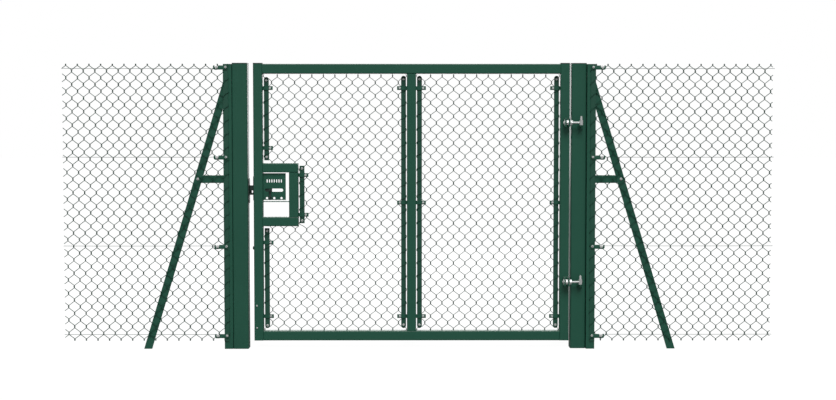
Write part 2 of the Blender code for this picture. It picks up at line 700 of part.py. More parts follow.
def buffer(colours):
    """The rubber buffer on the leaf's outer side."""
    radius = BUFFER_DIAMETER / 2
    rim = BUFFER_EDGE - BUFFER_LENGTH
    profile = [(radius - BUFFER_EDGE, -BUFFER_LENGTH), (radius, rim), (radius, 0)]
    place = (LATCH_STILE_OUTER - SEAM, LEAF_MIDDLE_Y, BUFFER_HEIGHT)
    return round_off(piece("buffer", turned(profile), colours["rubber"], place, "X"))


def flat_bar(name, low_x, y, low, high, colours, round_foot=False, round_top=False):
    """An upright flat bar, with each end square or rounded."""
    half = BAR_WIDTH / 2
    foot = [(low, -half), (low, half)]
    top = [(high, half), (high, -half)]
    if round_foot:
        foot = arc((low + half, 0), half, 270, 90, END_STEPS)
    if round_top:
        top = arc((high - half, 0), half, 90, -90, END_STEPS)
    mesh = prism(foot + top, -BAR_THICK / 2, BAR_THICK / 2)
    return piece(name, mesh, colours["bar"], (low_x + half, y, 0), "Y")


def leaf_bars(colours):
    """Flat bars beside each stile and beside the lock box, rounded where they end at a rail."""
    low = OPENING_BOTTOM + BAR_END_GAP
    high = OPENING_TOP - BAR_END_GAP
    beside_latch = LATCH_STILE_INNER + BAR_GAP
    beside_box = BOX_OUTER + BAR_GAP
    beside_middle = MIDDLE_STILE_X + LEAF_SIZE / 2 + BAR_GAP
    left_of_middle = MIDDLE_STILE_X - LEAF_SIZE / 2 - BAR_GAP - BAR_WIDTH
    beside_hinge = HINGE_STILE_INNER - BAR_GAP - BAR_WIDTH
    above_high = high - BAR_ABOVE_BOX_SHORT
    box_low = BOX_BOTTOM + BOX_BAR_INSET
    box_high = BOX_TOP - BOX_BAR_INSET
    rows = (
        ("bar_above_lock", beside_latch, BOX_TOP + BAR_ABOVE_BOX, above_high, False, True),
        ("bar_below_lock", beside_latch, low, BOX_BOTTOM - BAR_BELOW_BOX, True, False),
        ("bar_beside_lock", beside_box, box_low, box_high, False, False),
        ("bar_middle_left", left_of_middle, low, high, True, True),
        ("bar_middle_right", beside_middle, low, high, True, True),
        ("bar_hinge_side", beside_hinge, low, high, True, True),
    )
    return [flat_bar(name, x, BAR_Y, z0, z1, colours, *ends) for name, x, z0, z1, *ends in rows]


def spread(start, end, pitch):
    """Evenly spaced values from start to end at about the pitch."""
    count = max(1, round((end - start) / pitch))
    return [start + (end - start) * step / count for step in range(count + 1)]


def side_reach():
    """How far a net's wire stands out beyond its outermost column."""
    return WIRE_HALF_WIDTH * math.hypot(CELL_WIDTH, CELL_HEIGHT) / CELL_HEIGHT


def end_reach():
    """How far a net's wire stands out beyond its outermost row."""
    return WIRE_HALF_WIDTH * math.hypot(CELL_WIDTH, CELL_HEIGHT) / CELL_WIDTH


def net_plan(columns, rows, first=0):
    """Crossings and the wires between them: one diagonal in each square of the grid."""
    points = {}
    wires = []
    for i, x in enumerate(columns):
        for j, z in enumerate(rows):
            if (i + j + first) % 2 == 0:
                points[(i, j)] = Vector((x, z))
    for (i, j) in points:
        for across in (-1, 1):
            other = (i + across, j + 1)
            if other in points:
                wires.append(((i, j), other))
    return points, wires


def add_barbs(points, wires, row):
    """Short upright ends on the crossings of one row."""
    for (i, j) in [key for key in points if key[1] == row]:
        points[(i, j, "barb")] = points[(i, j)] + Vector((0, BARB))
        wires.append(((i, j), (i, j, "barb")))


def trim_row(points, wires, row):
    """End the wires short of one row of crossings, which another net holds."""
    slope = math.atan2(CELL_HEIGHT, CELL_WIDTH)
    meeting = math.sin(2 * slope)
    short = (SEAM + WIRE_HALF_WIDTH * (1 + abs(math.cos(2 * slope)))) / meeting
    short = max(short, (SEAM + WIRE_HALF_WIDTH * math.sin(slope)) / math.cos(slope))
    for number, (start, end) in enumerate(wires):
        for shared, other in ((start, end), (end, start)):
            if shared[1] == row and len(shared) == 2:
                direction = (points[other] - points[shared]).normalized()
                cut_end = (shared[0], row, f"end{number}")
                points[cut_end] = points[shared] + direction * (short + SEAM)
                wires[number] = (cut_end, other)
    for key in [key for key in points if key[1] == row and len(key) == 2]:
        del points[key]


def net_mesh(points, wires, half_thick):
    """A net of four-sided wires in the XZ plane, fused where they cross."""
    around = {key: [] for key in points}
    for start, end in wires:
        around[start].append(end)
        around[end].append(start)
    mesh = bmesh.new()
    ridge = {}
    valley = {}
    for key, point in points.items():
        others = around[key]
        if not others:
            continue
        bearing = {other: math.atan2(*(points[other] - point).yx) for other in others}
        others.sort(key=bearing.get)
        front = mesh.verts.new((point.x, -half_thick, point.y))
        back = mesh.verts.new((point.x, half_thick, point.y))
        ridge[key] = (front, back)
        for number, other in enumerate(others):
            following = others[(number + 1) % len(others)]
            sector = (bearing[following] - bearing[other]) % math.tau or math.tau
            if len(others) == 1:
                sides = ((other, "left", math.pi / 2), (other, "right", -math.pi / 2))
                for towards, side, turn in sides:
                    angle = bearing[towards] + turn
                    offset = Vector((math.cos(angle), math.sin(angle))) * WIRE_HALF_WIDTH
                    rim = point + offset
                    valley[(key, towards, side)] = mesh.verts.new((rim.x, 0, rim.y))
                left = valley[(key, other, "left")]
                right = valley[(key, other, "right")]
                mesh.faces.new((front, left, back, right))
            else:
                angle = bearing[other] + sector / 2
                distance = WIRE_HALF_WIDTH / math.sin(sector / 2)
                rim = point + Vector((math.cos(angle), math.sin(angle))) * distance
                corner = mesh.verts.new((rim.x, 0, rim.y))
                valley[(key, other, "left")] = corner
                valley[(key, following, "right")] = corner
    for start, end in wires:
        for near, far in ((start, end), (end, start)):
            left_near = valley[(near, far, "left")]
            right_far = valley[(far, near, "right")]
            for layer in (0, 1):
                mesh.faces.new((ridge[near][layer], ridge[far][layer], right_far, left_near))
    return mesh


def leaf_fabric(colours):
    """Wire fabric in both halves of the leaf; the left half goes round the lock box in three nets."""
    half_thick = BAR_THICK / 2
    side = side_reach() + SEAM
    end = end_reach() + SEAM
    left = LATCH_STILE_INNER + BAR_GAP + BAR_WIDTH + side
    box = BOX_OUTER + BAR_GAP + BAR_WIDTH + side
    middle_left = MIDDLE_STILE_X - LEAF_SIZE / 2 - BAR_GAP - BAR_WIDTH - side
    middle_right = MIDDLE_STILE_X + LEAF_SIZE / 2 + BAR_GAP + BAR_WIDTH + side
    right = HINGE_STILE_INNER - BAR_GAP - BAR_WIDTH - side
    columns_box = spread(left, box, CELL_WIDTH)
    columns = columns_box + spread(box, middle_left, CELL_WIDTH)[1:]
    rows_below = spread(OPENING_BOTTOM + end, BOX_BOTTOM - end, CELL_HEIGHT)
    rows_above = spread(BOX_TOP + end, OPENING_TOP - end, CELL_HEIGHT)
    rows_beside = spread(rows_below[-1], rows_above[0], CELL_HEIGHT)
    beside_first = len(columns_box) - 1 + len(rows_below) - 1
    above_first = len(rows_below) - 1 + len(rows_beside) - 1

    nets = [("fabric_below_lock", net_plan(columns, rows_below))]
    points, wires = net_plan(columns[len(columns_box) - 1:], rows_beside, beside_first)
    trim_row(points, wires, 0)
    trim_row(points, wires, len(rows_beside) - 1)
    nets.append(("fabric_beside_lock", (points, wires)))
    nets.append(("fabric_above_lock", net_plan(columns, rows_above, above_first)))
    rows = spread(OPENING_BOTTOM + end, OPENING_TOP - end, CELL_HEIGHT)
    nets.append(("fabric_right_half", net_plan(spread(middle_right, right, CELL_WIDTH), rows)))
    pieces = []
    for name, plan in nets:
        pieces.append(piece(name, net_mesh(*plan, half_thick), colours["wire"], (0, BAR_Y, 0)))
    return pieces


def fence(side_name, side, face, run, colours):
    """One side of fence from the gate post's outer face; side is -1 to the left and +1 to the right."""
    near = face + side * ANGLE_GAP
    edge = near + side * ANGLE_SIZE
    upright(side_name, side, near, colours)
    strut_pieces(side_name, side, near, edge, colours)
    bar_low = min(edge, edge - side * BAR_WIDTH)
    flat_bar(f"fence_bar_{side_name}", bar_low, FENCE_BAR_Y, FENCE_BAR_BOTTOM, FENCE_BAR_TOP, colours)
    reach = edge + side * (side_reach() + SEAM)
    end = edge + side * run
    low, high = sorted((reach, end - side * side_reach()))
    columns = spread(low, high, CELL_WIDTH)
    rows = spread(FABRIC_BOTTOM + end_reach(), FABRIC_TOP, CELL_HEIGHT)
    points, wires = net_plan(columns, rows)
    add_barbs(points, wires, len(rows) - 1)
    mesh = net_mesh(points, wires, BAR_THICK / 2)
    piece(f"fence_fabric_{side_name}", mesh, colours["wire"], (0, FENCE_BAR_Y, 0))
    for number, height in enumerate(LINE_WIRES, start=1):
        line_wire(f"line_wire_{side_name}_{number}", side, edge, end, height, colours)


def upright(side_name, side, near, colours):
    """The angle post, with one leg flat to the front and one leg back along the gate post."""
    outline = [(side * x, y) for x, y in angle_outline(ANGLE_SIZE, ANGLE_THICK)]
    place = (near, ANGLE_FRONT, 0)
    return piece(f"fence_post_{side_name}", prism(outline, 0, ANGLE_HEIGHT), colours["green"], place)


def strut_pieces(side_name, side, near, edge, colours):
    """The leaning strut behind the angle post's front leg, and the level brace behind the strut."""
    lean = math.atan2(STRUT_SPREAD, STRUT_MEETS)
    front = ANGLE_FRONT + ANGLE_THICK + SEAM
    half = STRUT_SIZE / 2
    inner_leg = near + side * (ANGLE_THICK + SEAM)
    # The strut's upper corner stops at the post's inner leg, so its middle line ends short of it
    top_x = inner_leg + side * half * math.cos(lean)
    top_z = STRUT_MEETS + abs(edge - top_x) / math.tan(lean)
    foot_x = edge + side * STRUT_SPREAD
    length = top_z / math.cos(lean)
    outline = [(side * (half - x), y) for x, y in angle_outline(STRUT_SIZE, STRUT_THICK)]
    mesh = prism(outline, 0, length)
    # The foot is cut level with the ground
    for corner in mesh.verts:
        if corner.co.z == 0:
            corner.co.z = -side * corner.co.x * math.tan(lean)
    turn = Matrix.Rotation(-side * lean, 4, "Y")
    piece(f"strut_{side_name}", mesh, colours["green"], (foot_x, front, 0), turn=turn)

    # The brace ends on the inside of the strut's rear leg, along its slope
    back = front + STRUT_THICK + SEAM
    leg_offset = (half - STRUT_THICK - SEAM) / math.cos(lean)
    brace = [(y, -x) for x, y in angle_outline(BRACE_SIZE, BRACE_THICK)]
    brace_mesh = prism(brace, 0, BRACE_SIZE)
    top = BRACE_HEIGHT + BRACE_SIZE / 2
    for corner in brace_mesh.verts:
        height = top + corner.co.y
        middle = edge + side * (STRUT_MEETS - height) * math.tan(lean)
        far = middle + side * leg_offset
        corner.co.z = far if corner.co.z > 0 else inner_leg
    piece(f"brace_{side_name}", brace_mesh, colours["green"], (0, back, top), "X")


def line_wire(name, side, edge, end, height, colours):
    """A line wire with the strainer that ties it to the angle post."""
    origin = edge - side * STRAINER_BOLT_FROM_EDGE
    half = STRAINER_HEIGHT / 2
    drum = STRAINER_DRUM / 2
    drum_at = STRAINER_DRUM_AT
    hook_round = arc((half - drum / 2, drum_at), drum, 90, 270, END_STEPS)
    outline = [
        (-half, -STRAINER_TAIL),
        (half, -STRAINER_TAIL),
        (half, drum_at - drum),
        *reversed(hook_round[1:-1]),
        (half, drum_at + drum),
        (half, STRAINER_REACH),
        (0, STRAINER_REACH),
        (-half, STRAINER_REACH - half),
    ]
    outline = [(z, side * x) for z, x in outline]
    place = (origin, STRAINER_Y, height)
    thick = STRAINER_THICK / 2
    strainer = piece(name, prism(outline, -thick, thick), colours["green"], place, "Y")
    drum_place = (origin + side * drum_at, STRAINER_Y, height + half - drum / 2)
    drum_mesh = prism(circle(drum + DRUM_PROUD, SMALL_STEPS), -DRUM_FRONT, DRUM_BACK)
    drum_piece = piece(f"{name}_drum", drum_mesh, colours["green"], drum_place, "Y")
    head_mesh = prism(hexagon(STRAINER_BOLT_FLATS), -thick - STRAINER_BOLT_THICK, 0)
    head = piece(f"{name}_bolt", head_mesh, colours["green"], place, "Y")
    start = origin + side * (drum_at - drum)
    low, high = sorted((start, end))
    wire_mesh = prism(circle(LINE_WIRE_DIAMETER / 2, WIRE_STEPS), low, high)
    wire = piece(f"{name}_wire", wire_mesh, colours["wire"], (0, STRAINER_Y, height), "X")
    return weld(strainer, [drum_piece, head, wire])


def main():
    clear_scene()
    colours = {
        "green": paint("green_coat", (0.026, 0.080, 0.055), 0.45, 0.0),
        "bar": paint("dark_green_bar", (0.020, 0.060, 0.042), 0.5, 0.0),
        "wire": paint("green_wire", (0.040, 0.075, 0.060), 0.5, 0.0),
        "zinc": paint("zinc_plate", (0.62, 0.63, 0.62), 0.35, 1.0),
        "black": paint("black_coat", (0.015, 0.017, 0.016), 0.5, 0.0),
        "rubber": paint("rubber", (0.012, 0.012, 0.012), 0.8, 0.0),
    }
    gate_posts(colours)
    keep(colours)
    fence("left", -1, -POST_SPACING - HALF_POST, LEFT_RUN, colours)
    fence("right", 1, HALF_POST, RIGHT_RUN, colours)

    leaf = pivot("leaf_swing", (PIN_X, PIN_Y, 0))
    leaf_pieces = leaf_frame(colours) + lock_box(colours) + leaf_bars(colours) + leaf_fabric(colours)
    leaf_pieces += [lock_plate(colours), face_plate(colours), buffer(colours)]
    for level, height in HINGE_HEIGHTS.items():
        pintle(level, height, colours)
        leaf_pieces.append(eyebolt(level, height, colours))
        leaf_pieces.append(hinge_bracket(level, height, colours))
    carry(leaf, leaf_pieces)

    bolt = pivot("bolt_slide", (BOLT_TIP, LEAF_MIDDLE_Y, BOLT_MIDDLE))
    carry(bolt, [slide_bolt(colours)])
    carry(leaf, [bolt])


main()
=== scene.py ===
"""Looks of the chain link gate: coats, woven wire, line wires, fixings, welds and the stage.

Metres, +Z up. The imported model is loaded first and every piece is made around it, in its frame.
"""

import json
import math
from collections import namedtuple

import bmesh
import bpy
from bpy.props import FloatProperty, FloatVectorProperty, PointerProperty
from mathutils import Matrix, Vector


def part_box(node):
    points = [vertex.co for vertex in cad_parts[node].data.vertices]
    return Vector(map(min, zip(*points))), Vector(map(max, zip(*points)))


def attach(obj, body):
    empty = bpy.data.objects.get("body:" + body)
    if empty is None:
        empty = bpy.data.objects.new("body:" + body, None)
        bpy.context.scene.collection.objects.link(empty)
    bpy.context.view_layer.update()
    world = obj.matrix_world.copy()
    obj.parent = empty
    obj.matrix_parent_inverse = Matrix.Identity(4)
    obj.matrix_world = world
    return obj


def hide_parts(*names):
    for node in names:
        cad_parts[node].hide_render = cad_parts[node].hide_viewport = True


bl_info = {
    "name": "Chain link gate",
    "version": (1, 0, 0),
    "blender": (4, 5, 0),
    "location": "View3D > Sidebar > Gate",
    "description": "Dresses the packed chain link gate with its coats, woven wire, fixings and stage",
    "category": "Object",
}

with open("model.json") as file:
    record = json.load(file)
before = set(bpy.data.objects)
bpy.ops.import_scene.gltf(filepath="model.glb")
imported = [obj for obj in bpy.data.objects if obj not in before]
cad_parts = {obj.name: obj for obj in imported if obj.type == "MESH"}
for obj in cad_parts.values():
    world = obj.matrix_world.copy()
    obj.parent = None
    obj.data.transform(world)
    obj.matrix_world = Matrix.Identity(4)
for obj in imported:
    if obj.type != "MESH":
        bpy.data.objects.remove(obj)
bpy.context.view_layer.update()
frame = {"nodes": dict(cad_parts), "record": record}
NODES = frame["nodes"]

FENCE = "posts_and_fence"
LEAF = "leaf"

LEAF_BARS = (
    "bar_above_lock", "bar_below_lock", "bar_beside_lock",
    "bar_middle_left", "bar_middle_right", "bar_hinge_side",
)

# The materials made here, by the record's slots, and one more for the eyebolts: zinc made darker as painted
# shade
FINISHES = {
    # The bars' coat is darker than the green coat as painted shade
    "green_coat": "Green powder coat", "dark_green_bar": "Bar coat with painted shade",
    "green_wire": "Green wire coat", "zinc_plate": "Zinc plating", "shaded_zinc": "Shaded zinc plating",
    "black_coat": "Black powder coat", "rubber": "Buffer rubber",
}
# The loaded parts that look otherwise than their slot in the record
OTHER_COATS = {
    "hinge_post_cap": "black_coat", "latch_post_cap": "black_coat",
    "hinge_pin_upper": "green_coat", "hinge_pin_lower": "green_coat",
    # The eyebolts take the darker zinc, which is painted shade
    "hinge_eyebolt_upper": "shaded_zinc", "hinge_eyebolt_lower": "shaded_zinc",
}

# Points along a wire for each row of hooks: the hook itself and the straight strand after it
HOOK_POINTS = 7
STRAND_POINTS = 2
ROW_POINTS = HOOK_POINTS + STRAND_POINTS
WIRE_SIDES = 6
FAR = 100.0

# The gap between pieces that touch, as in the loaded parts
TOUCH = 0.0003
# The width of the leaf's square tubes, and the thickness of the flat bars
TUBE = 0.060
BAR_THICK = 0.005
WHITE = (1.0, 1.0, 1.0, 1.0)


def tint(name, description, default):
    return FloatVectorProperty(
        name=name, description=description, default=default, subtype="COLOR", size=3, min=0.0, max=1.0)


def amount(name, description, default, unit="NONE"):
    return FloatProperty(name=name, description=description, default=default, unit=unit)


def metres(name, description, default):
    return amount(name, description, default, "LENGTH")


class GateCoats(bpy.types.PropertyGroup):
    green: tint("Green coat", "Colour of the coated sections", (0.0140, 0.0730, 0.0465))
    # The bars' green is darker than the coat's as painted shade, standing for the shade on them
    bar: tint("Bar green", "Darker green of the flat bars", (0.0150, 0.0640, 0.0420))
    wire: tint("Wire green", "Colour of the coated wire", (0.0125, 0.0560, 0.0370))
    zinc: tint("Zinc", "Colour of the plated fixings", (0.56, 0.58, 0.57))
    # The share of the zinc's colour left on the eyebolts, a darkening that is painted shade
    shaded: amount("Shaded zinc", "Share of that colour which the hinge eyebolts have", 0.78)
    black: tint("Black coat", "Colour of the bolt and the keep", (0.020, 0.035, 0.030))
    rubber: tint("Rubber", "Colour of the buffer", (0.012, 0.012, 0.012))
    grain: metres("Coat grain", "Depth of the fine grain in the coat", 0.00005)


class GateWeave(bpy.types.PropertyGroup):
    leaf_wire: metres("Leaf wire", "Diameter of the wire in the leaf", 0.0040)
    fence_wire: metres("Fence wire", "Diameter of the wire in the fence", 0.0045)
    column_step: metres("Column step", "Distance from one column of hooks to the next", 0.03753)
    row_step: metres("Row step", "Distance from one row of hooks to the next", 0.043705)
    hook_length: metres("Hook length", "Height of the upright part where two wires hook", 0.019)
    depth: metres("Weave depth", "How far a strand lies before or behind the middle", 0.0024)
    leaf_column: metres("Leaf column", "Place along X of a column of hooks in the left half", -1.7738)
    right_column: metres("Right column", "Place along X of a column of hooks in the right half", -0.9628)
    leaf_row: metres("Leaf row", "Height of the top row of hooks in the leaf", 1.7793)
    fence_left_column: metres("Left fence column", "Place of a column of hooks in the left fence", -2.3412)
    fence_right_column: metres("Right fence column", "Place of a column of hooks in the right fence", 0.1080)
    fence_row: metres("Fence row", "Height of the top row of hooks in the fence", 1.8510)


class GateFixings(bpy.types.PropertyGroup):
    bar_flats: metres("Bar bolt", "Width across flats of the bolts in the bars", 0.0125)
    bar_washer: metres("Bar washer", "Diameter of the washers under those bolts", 0.0165)
    strainer_flats: metres("Strainer bolt", "Width across flats of the strainers' bolts", 0.013)
    line_wire: metres("Line wire", "Diameter of the line wires", 0.0026)


class GateStage(bpy.types.PropertyGroup):
    camera_x: metres("Camera X", "Place of the camera along the gate", -1.0805)
    camera_y: metres("Camera Y", "Place of the camera before the gate", -9.043)
    camera_z: metres("Camera height", "Height of the camera", 1.4291)
    pitch: amount("Pitch", "How far the camera looks down", math.radians(2.91), "ROTATION")
    yaw: amount("Yaw", "How far the camera looks to the right", math.radians(0.225), "ROTATION")
    lens: amount("Lens", "Focal length in millimetres", 59.574)
    sky: amount("Sky", "Strength of the light from all round", 0.28)
    sun: amount("Sun", "Strength of the lamp above and in front", 2.85)
    sun_spread: amount("Sun spread", "Angle of the sun's disc, which softens shadows", math.radians(30.0),
                       "ROTATION")
    key: amount("Key lamp", "Power of the large lamp in front", 40.0, "POWER")
    fill: amount("Fill lamp", "Power of the lamp behind", 380.0, "POWER")


def maths_node(operation, swapped=False):
    """A method of a Term that adds a maths node, with the Term as its first value or its last."""
    def method(self, *others):
        values = (*others, self) if swapped else (self, *others)
        return self.tree.maths(operation, *values)
    return method


class Term:
    """A number or colour from a node, which takes Python's operators."""

    def __init__(self, tree, socket):
        self.tree = tree
        self.socket = socket

    __add__ = __radd__ = maths_node("ADD")
    __sub__ = maths_node("SUBTRACT")
    __rsub__ = maths_node("SUBTRACT", swapped=True)
    __mul__ = __rmul__ = maths_node("MULTIPLY")
    __truediv__ = maths_node("DIVIDE")
    __mod__ = maths_node("FLOORED_MODULO")
    __pow__ = maths_node("POWER")
    __gt__ = maths_node("GREATER_THAN")
    __lt__ = maths_node("LESS_THAN")
    __abs__ = maths_node("ABSOLUTE")
    floor = maths_node("FLOOR")
    cosine = maths_node("COSINE")
    least = maths_node("MINIMUM")
    most = maths_node("MAXIMUM")

    def same(self, other):
        return self.tree.maths("COMPARE", self, other, 0.5)

    def clamped(self, low=0.0, high=1.0):
        return self.most(low).least(high)


class Tree:
    """Adds nodes to a node tree, whatever its kind."""

    def __init__(self, tree):
        self.tree = tree

    def feed(self, socket, value):
        if isinstance(value, Term):
            self.tree.links.new(value.socket, socket)
        else:
            socket.default_value = value

    def node(self, kind, values=None, output=0, **settings):
        """A node of a kind: its settings by name, and values or links by socket name or number."""
        node = self.tree.nodes.new(kind)
        for name, value in settings.items():
            setattr(node, name, value)
        for name, value in (values or {}).items():
            self.feed(node.inputs[name], value)
        return Term(self, node.outputs[output]) if len(node.outputs) else None

    def maths(self, operation, *values):
        return self.node("ShaderNodeMath", dict(enumerate(values)), operation=operation)

    def mix(self, factor, first, second):
        """A colour between two colours."""
        values = {0: factor, 6: first, 7: second}
        return self.node("ShaderNodeMix", values, output=2, data_type="RGBA", clamp_factor=True)

    def joined(self, x, y, z):
        return self.node("ShaderNodeCombineXYZ", {0: x, 1: y, 2: z})

    def rays(self, kind):
        """1 for rays of a kind, and 0 for others."""
        return self.node("ShaderNodeLightPath", output=f"Is {kind} Ray")


# Coats


DUST = (0.30, 0.34, 0.31, 1.0)


def finish(slot):
    return bpy.data.materials[FINISHES[slot]]


def coat(slot):
    """A new material's tree with its shader, and the object's coordinates."""
    material = bpy.data.materials.new(FINISHES[slot])
    material.use_nodes = True
    tree = Tree(material.node_tree)
    shader = material.node_tree.nodes["Principled BSDF"]
    return tree, shader, tree.node("ShaderNodeTexCoord", output="Object")


def noise(tree, place, scale, detail=2.0, rough=0.5):
    values = {"Vector": place, "Scale": scale, "Detail": detail, "Roughness": rough}
    return tree.node("ShaderNodeTexNoise", values, noise_dimensions="3D")


def colour(value, share=1.0):
    return (*[part * share for part in value], 1.0)


def facing_up(tree):
    """How much a face looks up, from 0 to 1."""
    normal = tree.node("ShaderNodeNewGeometry", output="Normal")
    return tree.node("ShaderNodeSeparateXYZ", {0: normal}, output="Z").clamped()


def bumped(tree, shader, height, distance):
    bump = tree.node("ShaderNodeBump", {"Height": height, "Distance": distance})
    tree.feed(shader.inputs["Normal"], bump)


def painted(slot, tone, roughness, grain, dust, mottle=0.10, gloss=0.2):
    """Powder coat: fine grain, faint mottling, dust on what faces up, and slightly uneven gloss."""
    tree, shader, place = coat(slot)
    cloud = noise(tree, place, 3.5, detail=4.0, rough=0.6)
    fleck = noise(tree, place, 60.0, detail=3.0)
    grainy = noise(tree, place, 900.0, detail=1.0)
    shade = (cloud * 0.7 + fleck * 0.3 - 0.5) * 2.0
    base = tree.mix((shade * 0.5 + 0.5).clamped(), colour(tone, 1.0 - mottle), colour(tone, 1.0 + mottle))
    dusty = facing_up(tree) * dust
    tree.feed(shader.inputs["Base Color"], tree.mix(dusty, base, DUST))
    tree.feed(shader.inputs["Roughness"], (roughness + shade * 0.10 + dusty * 0.2).clamped(0.05, 1.0))
    shader.inputs["Specular IOR Level"].default_value = gloss
    bumped(tree, shader, grainy * 0.6 + fleck * 0.4, grain)


def plated(slot, tone):
    """Bright zinc: blotchy grey with a soft sheen and fine scratches."""
    tree, shader, place = coat(slot)
    blotch = noise(tree, place, 110.0, detail=3.0, rough=0.6)
    drawn = tree.node("ShaderNodeVectorMath", {0: place, 1: (1.0, 1.0, 12.0)}, operation="MULTIPLY")
    streak = noise(tree, drawn, 260.0)
    tree.feed(shader.inputs["Base Color"], tree.mix(blotch, colour(tone, 0.80), colour(tone, 1.10)))
    shader.inputs["Metallic"].default_value = 0.4
    tree.feed(shader.inputs["Roughness"], (0.44 + (blotch - 0.5) * 0.25).clamped(0.1, 1.0))
    bumped(tree, shader, streak * 0.5 + blotch * 0.5, 0.00008)


def moulded(slot, tone):
    """Rubber: matt, with a faint bloom."""
    tree, shader, place = coat(slot)
    bloom = noise(tree, place, 150.0, detail=3.0)
    tree.feed(shader.inputs["Base Color"], tree.mix(bloom, colour(tone, 0.8), colour(tone, 1.8)))
    tree.feed(shader.inputs["Roughness"], 0.72 + bloom * 0.2)
    bumped(tree, shader, noise(tree, place, 1400.0), 0.00005)


class GATE_OT_coats(bpy.types.Operator):
    """Makes the coats and gives each loaded part its own."""

    bl_idname = "gate.coats"
    bl_label = "Coats"

    def execute(self, context):
        sizes = context.scene.gate_coats
        painted("green_coat", sizes.green, 0.42, sizes.grain, 0.25)
        # The flat bars: the coat's green made darker, as painted shade
        painted("dark_green_bar", sizes.bar, 0.50, sizes.grain, 0.15)
        painted("green_wire", sizes.wire, 0.55, sizes.grain, 0.0, gloss=0.1)
        painted("black_coat", sizes.black, 0.48, sizes.grain, 0.10, mottle=0.2)
        plated("zinc_plate", sizes.zinc)
        # A darker copy of the zinc for the eyebolts, as painted shade
        plated("shaded_zinc", tuple(part * sizes.shaded for part in sizes.zinc))
        moulded("rubber", sizes.rubber)
        for part in frame["record"]["subparts"]:
            name = part["node"]
            for material_slot in NODES[name].material_slots:
                material_slot.material = finish(OTHER_COATS.get(name, part["material_slot"]))
        return {"FINISHED"}


# Making pieces


def settle(piece, body, replaced=()):
    """Puts a finished piece under its body and hides the loaded parts that it stands for."""
    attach(piece, body)
    if replaced:
        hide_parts(*replaced)
    return piece


def from_mesh(name, mesh, material):
    """An object from a mesh, with its faces outward and its sharp edges kept."""
    bmesh.ops.recalc_face_normals(mesh, faces=mesh.faces)
    data = bpy.data.meshes.new(name)
    mesh.to_mesh(data)
    mesh.free()
    data.shade_smooth()
    data.set_sharp_from_angle(angle=math.radians(35.0))
    data.materials.append(material)
    piece = bpy.data.objects.new(name, data)
    bpy.context.scene.collection.objects.link(piece)
    return piece


def made(name, mesh, body, slot, replaced=()):
    """A settled piece from a mesh, with the coat of its slot."""
    return settle(from_mesh(name, mesh, finish(slot)), body, replaced)


def arc(centre, radius, start, end, steps):
    """Points on an arc between two angles in degrees, both ends among them."""
    points = []
    for step in range(steps + 1):
        angle = math.radians(start + (end - start) * step / steps)
        points.append((centre[0] + radius * math.cos(angle), centre[1] + radius * math.sin(angle)))
    return points


def round_slot(centre, width, height, steps=8):
    """A slot with round ends, level or upright, whichever is longer; a round hole if they are the same."""
    end = min(width, height) / 2
    if width == height:
        return arc(centre, end, -90, 270, 2 * steps)[:-1]
    x, z = centre
    along, up = width / 2 - end, height / 2 - end
    turn = 0 if up else -90
    near = arc((x + along, z + up), end, turn, turn + 180, steps)
    return near + arc((x - along, z - up), end, turn + 180, turn + 360, steps)


def rounded_square(size, corner, steps=4):
    reach = size / 2 - corner
    points = []
    for quarter, (x, y) in enumerate(((reach, reach), (-reach, reach), (-reach, -reach), (reach, -reach))):
        points += arc((x, y), corner, quarter * 90, quarter * 90 + 90, steps)
    return points


def pierced(mesh, outline, holes, thick, place):
    """A plate with holes: drawn in a plane, thickened along its normal, then set by a matrix."""
    edges = []
    for loop in (outline, *holes):
        ring = [mesh.verts.new((x, y, 0.0)) for x, y in loop]
        edges += [mesh.edges.new((ring[i - 1], ring[i])) for i in range(len(ring))]
    filled = bmesh.ops.triangle_fill(mesh, edges=edges, use_beauty=True)
    faces = [item for item in filled["geom"] if isinstance(item, bmesh.types.BMFace)]
    front = {vert for face in faces for vert in face.verts}
    raised = bmesh.ops.extrude_face_region(mesh, geom=faces, use_keep_orig=True)
    back = [item for item in raised["geom"] if isinstance(item, bmesh.types.BMVert)]
    bmesh.ops.translate(mesh, verts=back, vec=(0.0, 0.0, thick))
    bmesh.ops.transform(mesh, matrix=place, verts=list(front) + back)


def bridged(mesh, near, far):
    """The faces between two rings of points."""
    following = (*range(1, len(near)), 0)
    return [mesh.faces.new((near[i], near[j], far[j], far[i])) for i, j in enumerate(following)]


def slab(mesh, outline, thick, place, soften):
    """A solid plate from an outline, its edges softened."""
    low, high = ([mesh.verts.new((x, y, height)) for x, y in outline] for height in (0.0, thick))
    ends = [mesh.faces.new(low), mesh.faces.new(high)]
    faces = ends + bridged(mesh, low, high)
    bmesh.ops.transform(mesh, matrix=place, verts=low + high)
    rims = [edge for face in ends for edge in face.edges]
    bmesh.ops.recalc_face_normals(mesh, faces=faces)
    bmesh.ops.bevel(mesh, geom=rims, offset=soften, segments=2, affect="EDGES", profile=0.6)


def turned(mesh, profile, place, steps=20):
    """A solid turned about Z from (radius, height) pairs; a closed ring where it ends as it starts."""
    rings = []
    for radius, height in profile:
        rings.append([mesh.verts.new((x, y, height)) for x, y in arc((0, 0), radius, 0, 360, steps)[:-1]])
    if profile[0] == profile[-1]:
        for vert in rings.pop():
            mesh.verts.remove(vert)
        pairs = zip(rings, rings[1:] + rings[:1])
    else:
        pairs = zip(rings, rings[1:])
        mesh.faces.new(rings[0])
        mesh.faces.new(rings[-1])
    for near, far in pairs:
        bridged(mesh, near, far)
    bmesh.ops.transform(mesh, matrix=place, verts=[vert for ring in rings for vert in ring])


